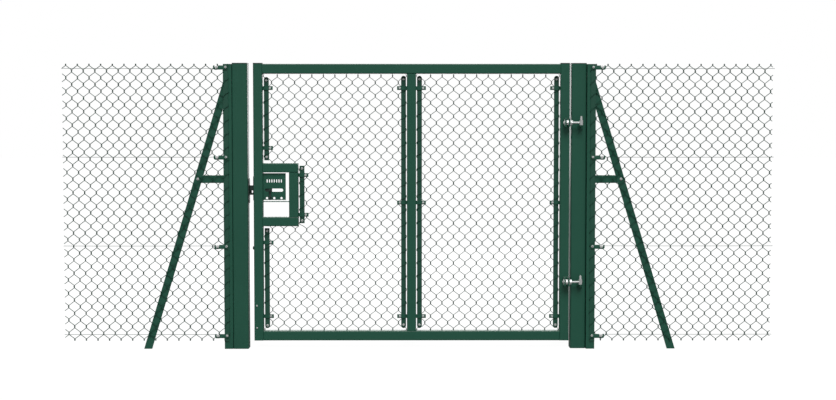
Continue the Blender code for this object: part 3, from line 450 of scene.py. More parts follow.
def swept(mesh, path, radii, sides=8):
    """A round bar along a path, with one radius or one for each point."""
    path = [Vector(point) for point in path]
    radii = [radii] * len(path) if isinstance(radii, float) else radii
    ahead = [(path[min(i + 1, len(path) - 1)] - path[max(i - 1, 0)]).normalized() for i in range(len(path))]
    side = ahead[0].orthogonal().normalized()
    rings = []
    for point, direction, radius in zip(path, ahead, radii):
        side = (side - direction * side.dot(direction)).normalized()
        other = direction.cross(side)
        circle = arc((0, 0), radius, 0, 360, sides)[:-1]
        rings.append([mesh.verts.new(point + side * a + other * b) for a, b in circle])
    mesh.faces.new(rings[0])
    mesh.faces.new(rings[-1])
    for near, far in zip(rings, rings[1:]):
        bridged(mesh, near, far)


def facing(x, y, z, toward="front"):
    """A matrix that takes what is drawn in XY with its normal along Z to a place, facing a side."""
    turns = {
        "front": Matrix(((1, 0, 0), (0, 0, -1), (0, 1, 0))),
        "left": Matrix(((0, 0, -1), (-1, 0, 0), (0, 1, 0))),
        "right": Matrix(((0, 0, 1), (1, 0, 0), (0, 1, 0))),
        "up": Matrix.Identity(3),
    }
    return Matrix.Translation((x, y, z)) @ turns[toward].to_4x4()


# The kind of a group's input for each type of value
INPUT_KINDS = {int: "Int", float: "Float", tuple: "Rotation", bpy.types.Material: "Material"}


def node_group(name, values):
    """A geometry node group with an input for each value; gives its Tree and a Term for each input."""
    group = bpy.data.node_groups.new(name, "GeometryNodeTree")
    group.interface.new_socket("Geometry", in_out="OUTPUT", socket_type="NodeSocketGeometry")
    group.interface.new_socket("Geometry", in_out="INPUT", socket_type="NodeSocketGeometry")
    for label, value in values.items():
        kind = INPUT_KINDS[type(value)]
        group.interface.new_socket(label, in_out="INPUT", socket_type=f"NodeSocket{kind}")
    tree = Tree(group)
    start = group.nodes.new("NodeGroupInput")
    terms = {socket.name: Term(tree, socket) for socket in start.outputs if socket.name}
    return group, tree, terms


def close_group(tree, geometry, material):
    """The end of every group: real meshes, with their coat."""
    solid = tree.node("GeometryNodeRealizeInstances", {0: geometry})
    coated = tree.node("GeometryNodeSetMaterial", {"Geometry": solid, "Material": material})
    tree.node("NodeGroupOutput", {0: coated})


def grown(name, group, base, values):
    """Runs a group on a base mesh and keeps its result as a plain mesh at the origin."""
    piece = bpy.data.objects.new(name, base)
    bpy.context.scene.collection.objects.link(piece)
    modifier = piece.modifiers.new(group.name, "NODES")
    modifier.node_group = group
    for item in group.interface.items_tree:
        if item.item_type == "SOCKET" and item.in_out == "INPUT" and item.name in values:
            modifier[item.identifier] = values[item.name]
    depsgraph = bpy.context.evaluated_depsgraph_get()
    mesh = bpy.data.meshes.new_from_object(piece.evaluated_get(depsgraph))
    piece.modifiers.remove(modifier)
    piece.data = mesh
    mesh.name = name
    return piece


Edges = namedtuple("Edges", "left right front back foot top")


def edges_of(name):
    """The sides of a loaded part's box."""
    low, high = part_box(name)
    return Edges(low.x, high.x, low.y, high.y, low.z, high.z)


# Woven wire


# A wire starts to bend to the front or the back of a bar this far from it
BAR_RISE = 0.012
# How much less steeply the strands beside a bar cross it
BAR_BEND = 0.4
# From the middle line between two hooked wires to each wire's surface
HOOK_GAP = 0.0002


def weave_group(values):
    """Upright zigzag wires, each hooked into the next at every other row, from front to back."""
    group, tree, size = node_group("Woven wire", values)
    wires = size["Wires"]
    rows = size["Rows"]
    hook = size["Hook"]
    per_wire = rows * ROW_POINTS + HOOK_POINTS + size["Tail"]
    line = tree.node("GeometryNodeMeshLine", {"Count": per_wire * wires}, mode="OFFSET")
    index = tree.node("GeometryNodeInputIndex")
    wire = (index / per_wire).floor()
    along = index - wire * per_wire
    row = (along / ROW_POINTS).floor()
    step = along - row * ROW_POINTS
    turn = (step / (HOOK_POINTS - 1)).least(1.0)
    run = (step - (HOOK_POINTS - 1)).most(0.0) / (STRAND_POINTS + 1)

    side = 1.0 - ((wire + row + size["First Side"]) % 2.0) * 2.0
    column = wire + (1.0 + side) * 0.5
    following = wire + (1.0 - side) * 0.5
    height = size["First Row"] + row * size["Row Step"]
    by_bar = (height > size["Left Bar Foot"]) * (height < size["Left Bar Top"])

    def column_place(number):
        first = number.same(0.0) * by_bar
        last = number.same(wires)
        plain = size["First Column"] + number * size["Column Step"]
        return plain - first * size["Left Reach"] + last * size["Right Reach"]

    here = column_place(column)
    there = column_place(following)
    swing = abs(turn * 2.0 - 1.0) ** 4.0
    hook_x = here + side * hook * (1.0 - swing * 2.0)
    x = hook_x + (there + side * hook - hook_x) * run

    # A strand beside a bar keeps its slope to the bar's edge and crosses the bar less steeply
    first_wire, last_wire = wire.same(0.0), wire.same(wires - 1.0)
    edge_wire = first_wire * (size["Left Reach"] > 0.001) * by_bar
    edge_wire = edge_wire + last_wire * (abs(size["Right Reach"]) > 0.005)
    inward = first_wire * side - last_wire * side
    bend = edge_wire * (run > 0.01) * BAR_BEND * ((1.0 + inward) * 0.5 - run)
    length = size["Hook Length"]
    hook_z = height + (turn - 0.5) * length
    next_z = height + size["Row Step"] - length * 0.5
    z = hook_z + (next_z - hook_z) * (run + bend)
    z = z.most(size["Lowest"]).least(size["Highest"])

    beside_left = ((size["Left Bar Edge"] - x) / BAR_RISE + 1.0).clamped() * by_bar
    beside_right = ((x - size["Right Bar Edge"]) / BAR_RISE + 1.0).clamped()
    depth = size["Depth"] + (size["Bar Depth"] - size["Depth"]) * beside_left.most(beside_right)
    y = size["Middle"] - side * depth * (turn * math.pi).cosine()

    moved = tree.node("GeometryNodeSetPosition", {"Geometry": line, "Position": tree.joined(x, y, z)})
    seam = ((index + 1.0) % per_wire) < 0.5
    apart = tree.node("GeometryNodeDeleteGeometry", {"Geometry": moved, "Selection": seam},
                      domain="EDGE", mode="EDGE_FACE")
    place_x = tree.node("ShaderNodeSeparateXYZ", {0: tree.node("GeometryNodeInputPosition")})
    outside = (place_x < size["Left Cut"]) + (place_x > size["Right Cut"])
    trimmed = tree.node("GeometryNodeDeleteGeometry", {"Geometry": apart, "Selection": outside},
                        domain="POINT")
    curve = tree.node("GeometryNodeMeshToCurve", {"Mesh": trimmed})
    circle = {"Resolution": WIRE_SIDES, "Radius": size["Wire Radius"]}
    ring = tree.node("GeometryNodeCurvePrimitiveCircle", circle, mode="RADIUS")
    tube = tree.node("GeometryNodeCurveToMesh", {"Curve": curve, "Profile Curve": ring, "Fill Caps": True})
    smooth = tree.node("GeometryNodeSetShadeSmooth", {"Geometry": tube, "Shade Smooth": True})
    close_group(tree, smooth, size["Material"])
    return group


def weave(name, wire, middle, body, replaced, sizes):
    """One net of woven wire; what isn't given has no bar, no cut and no limit."""
    weaving = bpy.context.scene.gate_weave
    radius = wire / 2
    values = {
        "Tail": 0, "First Side": 0, "Column Step": weaving.column_step, "Row Step": weaving.row_step,
        "Middle": middle, "Wire Radius": radius, "Hook": radius + HOOK_GAP, "Depth": weaving.depth,
        "Hook Length": weaving.hook_length, "Bar Depth": BAR_THICK / 2 + radius + TOUCH,
        "Left Bar Edge": -FAR, "Left Reach": 0.0, "Left Bar Foot": -FAR, "Left Bar Top": FAR,
        "Right Bar Edge": FAR, "Right Reach": 0.0, "Left Cut": -FAR, "Right Cut": FAR,
        "Lowest": -FAR, "Highest": FAR, "Material": finish("green_wire"),
    }
    values.update(sizes)
    group = bpy.data.node_groups.get("Woven wire") or weave_group(values)
    net = grown(name, group, bpy.data.meshes.new(name), values)
    settle(net, body, (replaced,))


def columns_over(start, end, column, step):
    """The first column of hooks at or before a bar's edge, and how many wires reach the next bar."""
    first = column - round((column - start) / step) * step
    first = first - step if first > start else first
    count = 1
    while first + count * step < end:
        count += 1
    return first, count


class GATE_OT_leaf_fabric(bpy.types.Operator):
    """Weaves the wire in both halves of the leaf, round the lock box and over the flat bars."""

    bl_idname = "gate.leaf_fabric"
    bl_label = "Leaf fabric"

    def execute(self, context):
        size = context.scene.gate_weave
        wire, step, pitch = size.leaf_wire, size.column_step, size.row_step
        radius = wire / 2
        left_bar = edges_of("bar_above_lock")
        box_bar = edges_of("bar_beside_lock")
        middle_bar = edges_of("bar_middle_left")
        box_foot = edges_of("lock_box_bottom").foot
        box_top = edges_of("lock_box_top").top
        rail_top = edges_of("bottom_rail").top
        middle = (left_bar.front + left_bar.back) / 2
        top = size.leaf_row
        rows = round((top - rail_top) / pitch)
        bottom = top - rows * pitch
        common = (wire, middle, LEAF)

        first, columns = columns_over(left_bar.right, middle_bar.left, size.leaf_column, step)
        beside = int((box_bar.left - first) / step + 1.0)
        weave("leaf_fabric_left", *common, "fabric_beside_lock", {
            "Wires": columns - beside, "Rows": rows, "First Side": (beside + rows + 1) % 2,
            "First Column": first + beside * step, "First Row": bottom, "Lowest": rail_top + radius,
            "Left Bar Edge": box_bar.right, "Left Reach": first + beside * step - box_bar.left,
            "Left Bar Foot": box_bar.foot, "Left Bar Top": box_bar.top,
            "Right Bar Edge": middle_bar.left, "Right Reach": middle_bar.right - (first + columns * step)})

        # The six wires that end at the lock box
        above = int((top - box_top) / pitch + 0.5)
        below = int((box_foot - bottom) / pitch - 0.2)
        short = {"Wires": beside, "First Column": first, "Left Bar Edge": left_bar.right,
                 "Left Reach": first - left_bar.left}
        weave("leaf_fabric_above_lock", *common, "fabric_above_lock", {
            **short, "Rows": above, "First Side": (above + 1) % 2, "First Row": top - above * pitch,
            "Lowest": box_top + radius})
        weave("leaf_fabric_below_lock", *common, "fabric_below_lock", {
            **short, "Rows": below, "First Side": (rows + 1) % 2, "First Row": bottom, "Tail": STRAND_POINTS,
            "Lowest": rail_top + radius, "Highest": box_foot - radius})

        near, far = edges_of("bar_middle_right"), edges_of("bar_hinge_side")
        first, columns = columns_over(near.right, far.left, size.right_column, step)
        weave("leaf_fabric_right", *common, "fabric_right_half", {
            "Wires": columns, "Rows": rows, "First Side": (rows + 1) % 2, "First Column": first,
            "First Row": bottom, "Lowest": rail_top + radius,
            "Left Bar Edge": near.right, "Left Reach": first - near.left,
            "Right Bar Edge": far.left, "Right Reach": far.right - (first + columns * step)})
        return {"FINISHED"}


# The fence's mesh is this much wider than the leaf's, and its wires end this far inside the cut
FENCE_EXTRA = 0.0001
CUT_INSET = 0.002


class GATE_OT_fence_fabric(bpy.types.Operator):
    """Weaves the wire of the two lengths of fence, hooked round the bars on the angle posts."""

    bl_idname = "gate.fence_fabric"
    bl_label = "Fence fabric"

    def execute(self, context):
        size = context.scene.gate_weave
        step = size.column_step + FENCE_EXTRA
        radius = size.fence_wire / 2
        for side in ("left", "right"):
            bar = edges_of(f"fence_bar_{side}")
            net = edges_of(f"fence_fabric_{side}")
            rows = round((size.fence_row - net.foot) / size.row_step)
            bottom = size.fence_row - rows * size.row_step
            if side == "left":
                outer = size.fence_left_column + step
                wires = int((outer - net.left) / step) + 2
                sizes = {
                    "First Column": outer - (wires - 1) * step, "First Side": (rows + wires + 1) % 2,
                    "Right Bar Edge": bar.left, "Right Reach": bar.right - outer - step,
                    "Left Cut": net.left + CUT_INSET}
            else:
                outer = size.fence_right_column
                wires = int((net.right - outer) / step) + 2
                sizes = {
                    "First Column": outer - step, "First Side": rows % 2, "Left Bar Edge": bar.right,
                    "Left Reach": outer - step - bar.left, "Right Cut": net.right - CUT_INSET}
            middle = (bar.front + bar.back) / 2
            weave(f"woven_fence_{side}", size.fence_wire, middle, FENCE, f"fence_fabric_{side}", {
                **sizes, "Wires": wires, "Rows": rows, "First Row": bottom, "Column Step": step,
                "Lowest": bottom - radius, "Highest": size.fence_row + radius * 0.5})
        return {"FINISHED"}


# Fixings


def fixing_group(values):
    """Hexagon heads with a chamfer, a washer and a stud end, on points."""
    group, tree, size = node_group("Hexagon fixings", values)
    radius = size["Flats"] / math.sqrt(3.0)
    washer = size["Washer Thickness"]

    def disc(corners, bottom, top, depth, lift):
        cone = tree.node("GeometryNodeMeshCone", {
            "Vertices": corners, "Radius Bottom": bottom, "Radius Top": top, "Depth": depth})
        shift = tree.joined(0.0, 0.0, lift)
        return tree.node("GeometryNodeTransform", {"Geometry": cone, "Translation": shift})

    head = size["Head"]
    parts = (
        disc(20, size["Washer"] * 0.5, size["Washer"] * 0.48, washer, 0.0),
        disc(6, radius, radius, head * 0.8, washer),
        disc(6, radius, radius * 0.84, head * 0.2, washer + head * 0.8),
        disc(12, size["Stud"] * 0.5, size["Stud"] * 0.42, size["Stud Length"] + head, washer),
    )
    join = group.nodes.new("GeometryNodeJoinGeometry")
    for part in reversed(parts):
        group.links.new(part.socket, join.inputs[0])
    whole = Term(tree, join.outputs[0])
    spread = tree.node("GeometryNodeInstanceOnPoints", {
        "Points": size["Geometry"], "Instance": whole, "Rotation": size["Turn"]})
    close_group(tree, spread, size["Material"])
    return group


TURNS = {"front": (math.pi / 2, 0.0, 0.0), "back": (-math.pi / 2, 0.0, 0.0)}
WASHER_THICK = 0.0015


def fixings(name, points, side, body, flats, head, washer, stud=None, stud_length=0.0):
    """Zinc bolts or nuts on points; a stud is half as thick as its head unless its thickness is given."""
    mesh = bpy.data.meshes.new(name)
    mesh.from_pydata(points, [], [])
    values = {
        "Flats": flats, "Head": head, "Washer": washer, "Washer Thickness": WASHER_THICK,
        "Stud": stud or flats * 0.5, "Stud Length": stud_length, "Turn": TURNS[side],
        "Material": finish("zinc_plate"),
    }
    group = bpy.data.node_groups.get("Hexagon fixings") or fixing_group(values)
    settle(grown(name, group, mesh, values), body)


# How far each bar's bolts lie from its ends, and how far the cleats' bolts lie beyond its edge
BAR_INSETS = {"bar_below_lock": 0.018, "bar_beside_lock": 0.018}
BAR_INSET = 0.022
CLEAT_BEYOND = 0.008
CLEAT_FRONT = -0.0095
CLEAT_THICK = 0.0055
FULL_BAR_CLEATS = (0.2065, 0.95325, 1.6995)
# Each bar, the side of it on which its cleats end, and their heights
CLEATS = (
    ("bar_above_lock", "right", (1.310, 1.6995)), ("bar_below_lock", "right", (0.2065, 0.6915)),
    ("bar_beside_lock", "right", (0.8735, 1.133)), ("bar_middle_left", "left", FULL_BAR_CLEATS),
    ("bar_middle_right", "right", FULL_BAR_CLEATS), ("bar_hinge_side", "left", FULL_BAR_CLEATS),
)


class GATE_OT_bar_bolts(bpy.types.Operator):
    """Bolts and nuts at the ends of the flat bars and on the cleats that hold them."""

    bl_idname = "gate.bar_bolts"
    bl_label = "Bar bolts"

    def execute(self, context):
        size = context.scene.gate_fixings
        ends = []
        for name in LEAF_BARS:
            bar = edges_of(name)
            inset = BAR_INSETS.get(name, BAR_INSET)
            ends += [((bar.left + bar.right) / 2, bar.front, z) for z in (bar.foot + inset, bar.top - inset)]
        self.through("bar", ends, BAR_THICK, size)

        cleats = []
        for name, side, heights in CLEATS:
            bar = edges_of(name)
            x = bar.right + CLEAT_BEYOND if side == "right" else bar.left - CLEAT_BEYOND
            cleats += [(x, CLEAT_FRONT, height) for height in heights]
        self.through("cleat", cleats, CLEAT_THICK, size)
        return {"FINISHED"}

    def through(self, name, points, thick, size):
        """Bolts in front of what they hold, and nuts on stud ends behind it."""
        common = {"body": LEAF, "flats": size.bar_flats, "washer": size.bar_washer}
        fixings(f"{name}_bolts", points, "front", **common, head=0.0045)
        backs = [(x, y + thick, z) for x, y, z in points]
        fixings(f"{name}_nuts", backs, "back", **common, head=0.0055, stud=0.006, stud_length=0.003)


# From the edge of the fence's bar to the strainer's bolt, and on to the middle of its drum
STRAINER_BOLT = 0.0175
STRAINER_DRUM = 0.0585
STRAP_THICK = 0.005
STRAP_SOFT = 0.0007
STRAP = (
    (-0.010, -0.0160), (0.050, -0.0160), (0.054, -0.0172), (0.068, -0.0172), (0.0765, -0.0145),
    (0.0800, -0.0070), (0.0800, 0.0080), (0.0765, 0.0115), (0.0720, 0.0115), (0.0700, 0.0070),
    (0.0700, -0.0010), (0.0660, -0.0085), (0.0590, -0.0105), (0.0520, -0.0085), (0.0485, -0.0010),
    (0.0485, 0.0110), (-0.010, 0.0110),
)
# Radius and height of the drum's outline, from its back to the end of its shaft
DRUM_RADIUS = 0.0056
DRUM = (
    (0.0040, -0.004), (0.0096, -0.0035), (0.0096, -0.002), (DRUM_RADIUS, -0.001), (DRUM_RADIUS, 0.0065),
    (0.0096, 0.0075), (0.0096, 0.009), (0.0086, 0.0096), (0.0035, 0.0096), (0.0035, 0.0125),
)
# How far the drum's middle and the wire's lie behind the front of the strap
DRUM_SETBACK = 0.004
WIRE_SETBACK = 0.0015
# How far each line wire leaves its drum above or below the drum's middle, from the foot up
WIRE_OFFSETS = (0.0088, 0.0040, 0.0, -0.0085)
# From the drum's middle to the start of the level run, and how far that run sags
WIRE_START = 0.016
WIRE_SAG = 0.0008


class GATE_OT_line_wires(bpy.types.Operator):
    """Line wires with their strainers: a hooked strap, a winding drum and the bolt that holds them."""

    bl_idname = "gate.line_wires"
    bl_label = "Line wires"

    def execute(self, context):
        size = context.scene.gate_fixings
        for side, out in (("left", -1.0), ("right", 1.0)):
            bar = edges_of(f"fence_bar_{side}")
            bolt_x = (bar.left if side == "left" else bar.right) - out * STRAINER_BOLT
            drum_x = bolt_x + out * STRAINER_DRUM
            front = bar.front - STRAP_THICK - TOUCH
            outline = [(out * along, up) for along, up in STRAP]
            nodes = [f"line_wire_{side}_{number}" for number in (1, 2, 3, 4)]
            straps, drums, wires = bmesh.new(), bmesh.new(), bmesh.new()
            bolts = []
            for name, offset in zip(nodes, WIRE_OFFSETS):
                line = edges_of(name)
                level = (line.foot + line.top) / 2
                slab(straps, outline, STRAP_THICK, facing(bolt_x, front + STRAP_THICK, level), STRAP_SOFT)
                turned(drums, DRUM, facing(drum_x, front + DRUM_SETBACK, level), 18)
                end = line.left if side == "left" else line.right
                self.wind(wires, (drum_x, front + WIRE_SETBACK, level), out, offset, end, size.line_wire)
                bolts.append((bolt_x, front, level))
            made(f"strainers_{side}", straps, FENCE, "green_coat", nodes)
            made(f"drums_{side}", drums, FENCE, "zinc_plate")
            made(f"line_wires_{side}", wires, FENCE, "green_wire")
            fixings(f"strainer_bolts_{side}", bolts, "front", FENCE, flats=size.strainer_flats, head=0.006,
                    washer=size.strainer_flats * 1.25, stud=0.007)
        return {"FINISHED"}

    def wind(self, mesh, place, out, offset, end, wire, steps=36, spans=24):
        """Two turns round the drum, then level to the end of the fence, with a slight sag."""
        x, y, z = place
        wound = DRUM_RADIUS + wire / 2
        leave = math.asin(max(-1.0, min(1.0, offset / wound)))
        path = []
        for step in range(steps + 1):
            angle = leave - (1 - step / steps) * 2 * math.tau
            drift = (1 - step / steps) * wire * 2.1
            path.append((x + out * wound * math.cos(angle), y - 0.002 + drift, z + wound * math.sin(angle)))
        start = x + out * WIRE_START
        for step in range(spans + 1):
            along = start + (end - start) * step / spans
            path.append((along, y - 0.001, z + offset - WIRE_SAG * math.sin(math.pi * step / spans)))
        swept(mesh, path, wire / 2, 8)


def ripple(mesh, start, end, radius):
    """A weld bead: a round bar whose thickness swells and shrinks along its way."""
    start, end = Vector(start), Vector(end)
    count = max(4, int((end - start).length / 0.0018))
    path = [start.lerp(end, step / count) for step in range(count + 1)]
    radii = [radius * (0.90 + 0.12 * math.sin(step * 1.9)) for step in range(count + 1)]
    radii[0] = radii[-1] = radius * 0.5
    swept(mesh, path, radii, 7)


# The rod's middle behind the bracket's front, and the pin's before the end of the eyebolt
ROD_SETBACK = 0.014
EYE_REACH = 0.012
# The eye's top above the rod's middle, and the thickness of a bracket's lug
EYE_RISE = 0.0168
LUG = 0.010
ROD_WASHER = (
    (0.0076, 0.0), (0.0195, 0.0), (0.0200, 0.0004), (0.0200, 0.0024), (0.0195, 0.0028), (0.0076, 0.0028),
    (0.0076, 0.0),
)
THREAD_PITCH = 0.002
THREAD_ROOT = 0.0067
THREAD_CREST = 0.0075
# The thread starts this far before the rod's end, and ends this far before the bracket
THREAD_START = 0.0004
THREAD_END = 0.003
BRACKET_BEAD = 0.0028


class GATE_OT_hinge_fittings(bpy.types.Operator):
    """Washers against the lugs, the thread on each rod, the pins' bright tips, and weld beads."""

    bl_idname = "gate.hinge_fittings"
    bl_label = "Hinge fittings"

    def execute(self, context):
        washers, tips, threads, beads = bmesh.new(), bmesh.new(), bmesh.new(), bmesh.new()
        for level in ("upper", "lower"):
            left, right, front, back, foot, top = edges_of(f"hinge_bracket_{level}")
            bolt = edges_of(f"hinge_eyebolt_{level}")
            middle = (foot + top) / 2
            rod_y = front + ROD_SETBACK
            eye_top = middle + EYE_RISE
            rise = edges_of(f"hinge_pin_{level}").top - eye_top
            tip = ((0.0073, 0.0), (0.0073, rise - 0.004), (0.0042, rise + TOUCH))
            turned(tips, tip, facing(bolt.right - EYE_REACH, rod_y, eye_top, "up"), 20)
            for face, toward in ((left, "left"), (right - LUG, "left"), (right, "right")):
                turned(washers, ROD_WASHER, facing(face, rod_y, middle, toward), 28)
            # Ridges of the thread, from the rod's end to the outer nut
            ridges = [(0.0058, 0.0)]
            for ridge in range(int((left - THREAD_END - bolt.left) / THREAD_PITCH)):
                height = ridge * THREAD_PITCH
                ridges += [(THREAD_CREST, height + THREAD_PITCH / 2), (THREAD_ROOT, height + THREAD_PITCH)]
            turned(threads, ridges, facing(bolt.left - THREAD_START, rod_y, middle, "right"), 18)
            for height in (foot, top):
                ripple(beads, (left, back, height), (right, back, height), BRACKET_BEAD)
            for x in (left, right):
                ripple(beads, (x, back, foot), (x, back, top), BRACKET_BEAD)
        made("hinge_washers", washers, LEAF, "zinc_plate")
        made("pin_tips", tips, FENCE, "zinc_plate")
        made("rod_threads", threads, LEAF, "zinc_plate")
        made("bracket_welds", beads, LEAF, "green_coat")
        return {"FINISHED"}


BEAD_INSET = 0.006
FRAME_BEAD = 0.0026
SEAM_BEAD = 0.0018
# The stile caps stand out past the tube, and lie mostly inside its end
CAP_EXTRA = 0.0012
CAP_THICK = 0.0060
CAP_DEPTH = 0.0052
CAP_CORNER = 0.0065
CAP_SOFT = 0.0012


class GATE_OT_frame_welds(bpy.types.Operator):
    """Weld beads in the frame's inner corners and at the lock box, and plastic stile caps."""

    bl_idname = "gate.frame_welds"
    bl_label = "Frame welds"

    def execute(self, context):
        beads = bmesh.new()
        latch, hinge, middle = (edges_of(f"{name}_stile") for name in ("latch", "hinge", "middle"))
        top_rail, low_rail = edges_of("top_rail"), edges_of("bottom_rail")
        front, back = top_rail.front + BEAD_INSET, top_rail.back - BEAD_INSET
        centre = (middle.left + middle.right) / 2
        for x in (top_rail.left, centre - TUBE / 2, centre + TUBE / 2, top_rail.right):
            for z in (top_rail.foot, low_rail.top):
                ripple(beads, (x, front, z), (x, back, z), FRAME_BEAD)
        for name in ("lock_box_bottom", "lock_box_top"):
            box = edges_of(name)
            for z in (box.foot, box.top):
                ripple(beads, (box.left, front, z), (box.left, back, z), FRAME_BEAD)
        seam = top_rail.back
        for rail in (top_rail, low_rail):
            for x in (rail.left, rail.right):
                ripple(beads, (x, seam, rail.foot + BEAD_INSET), (x, seam, rail.top - BEAD_INSET), SEAM_BEAD)
        made("frame_welds", beads, LEAF, "green_coat")

        caps = bmesh.new()
        outline = rounded_square(TUBE + CAP_EXTRA, CAP_CORNER)
        for stile, x in ((latch, latch.left + TUBE / 2), (hinge, hinge.right - TUBE / 2)):
            place = Matrix.Translation((x, latch.front + TUBE / 2, stile.top - CAP_DEPTH))
            slab(caps, outline, CAP_THICK, place, CAP_SOFT)
        made("stile_caps", caps, LEAF, "black_coat")
        return {"FINISHED"}


PLATE_THICK = 0.003
# The scene's plate stands this much taller than the loaded part's
PLATE_RISE = 0.003
# The knob's slot: its height, its middle above the plate's foot, and its ends from the plate's sides
KNOB_SLOT = 0.0205
KNOB_LEVEL = 0.064
KNOB_INSETS = (0.013, 0.017)
# The padlock holes: their width, their level, and the outer ones' middles from the plate's sides
PADLOCK_HOLE = 0.015
PADLOCK_LEVEL = 0.012
PADLOCK_INSETS = (0.026, 0.028)
# The row of plain slots: how many, their size, their level, and the row's ends from the plate's sides
ROW_SLOTS = 7
ROW_SLOT = (0.0064, 0.0210)
ROW_LEVEL = 0.1240
ROW_INSETS = (0.0195, 0.021)
# The bolt's passage through the fold: its sides, what stays behind it, and its play above and below the bolt
PASSAGE = (0.0060, 0.024)
PASSAGE_EDGE = 0.002
PASSAGE_PLAY = 0.003


class GATE_OT_lock_plate(bpy.types.Operator):
    """The plate in front of the bolt: a slot for the knob, padlock holes and a row of plain slots."""

    bl_idname = "gate.lock_plate"
    bl_label = "Lock plate"

    def execute(self, context):
        left, right, front, back, foot, top = edges_of("lock_plate")
        top += PLATE_RISE
        width = right - left
        start = left - TOUCH
        slot_width = width - sum(KNOB_INSETS)
        middle = (start + KNOB_INSETS[0] + slot_width / 2, foot + KNOB_LEVEL)
        holes = [round_slot(middle, slot_width, KNOB_SLOT)]
        spacing = (width - sum(PADLOCK_INSETS)) / 2
        for place in range(3):
            middle = (start + PADLOCK_INSETS[0] + place * spacing, foot + PADLOCK_LEVEL)
            holes.append(round_slot(middle, PADLOCK_HOLE, PADLOCK_HOLE, 10))
        near, far = start + ROW_INSETS[0], right - ROW_INSETS[1]
        for place in range(ROW_SLOTS):
            x = near + (far - near) * (place + 0.5) / ROW_SLOTS
            holes.append(round_slot((x, foot + ROW_LEVEL), *ROW_SLOT, 6))
        mesh = bmesh.new()
        outline = ((left, foot), (right, foot), (right, top), (left, top))
        pierced(mesh, outline, holes, PLATE_THICK, facing(0.0, front + PLATE_THICK, 0.0))

        # The fold at the stile, with the passage of the bolt
        depth = back - front
        bolt = edges_of("slide_bolt")
        outer, inner = PASSAGE[0], min(PASSAGE[1], depth - PASSAGE_EDGE)
        low, high = bolt.foot - PASSAGE_PLAY, bolt.top + PASSAGE_PLAY
        passage = ((outer, low), (inner, low), (inner, high), (outer, high))
        fold = ((PLATE_THICK, foot), (depth, foot), (depth, top), (PLATE_THICK, top))
        pierced(mesh, fold, [passage], PLATE_THICK, facing(left, front, 0.0, "right"))
        made("pierced_lock_plate", mesh, LEAF, "green_coat", ("lock_plate",))
        return {"FINISHED"}


# The bolts in the latch stile: their heights, and their distance from its edge
STILE_BOLTS = (0.2802, 0.1343)
STILE_BOLT_INSET = 0.018
# Where each brace meets its strut, and the thickness of both there
BRACE_BOLTS = {"left": -2.4741, "right": 0.2741}
BRACE_LEVEL = 1.109
BRACE_THICK = 0.0105


class GATE_OT_frame_bolts(bpy.types.Operator):
    """Bolts through the latch stile and where each brace meets its strut."""

    bl_idname = "gate.frame_bolts"
    bl_label = "Frame bolts"

    def execute(self, context):
        stile = edges_of("latch_stile")
        points = [(stile.left + STILE_BOLT_INSET, stile.front, height) for height in STILE_BOLTS]
        fixings("latch_stile_bolts", points, "front", LEAF, flats=0.009, head=0.003, washer=0.011,
                stud=0.005)
        for side, x in BRACE_BOLTS.items():
            front = edges_of(f"strut_{side}").front
            back = front + BRACE_THICK
            common = {"body": FENCE, "flats": 0.013, "washer": 0.018}
            fixings(f"brace_bolt_{side}", [(x, front, BRACE_LEVEL)], "front", **common, head=0.006)
            fixings(f"brace_nut_{side}", [(x, back, BRACE_LEVEL)], "back", **common, head=0.007,
                    stud=0.008, stud_length=0.004)
        return {"FINISHED"}


# Stage


# What the lamps look at
AIM = (-1.0, 0.0, 0.9)


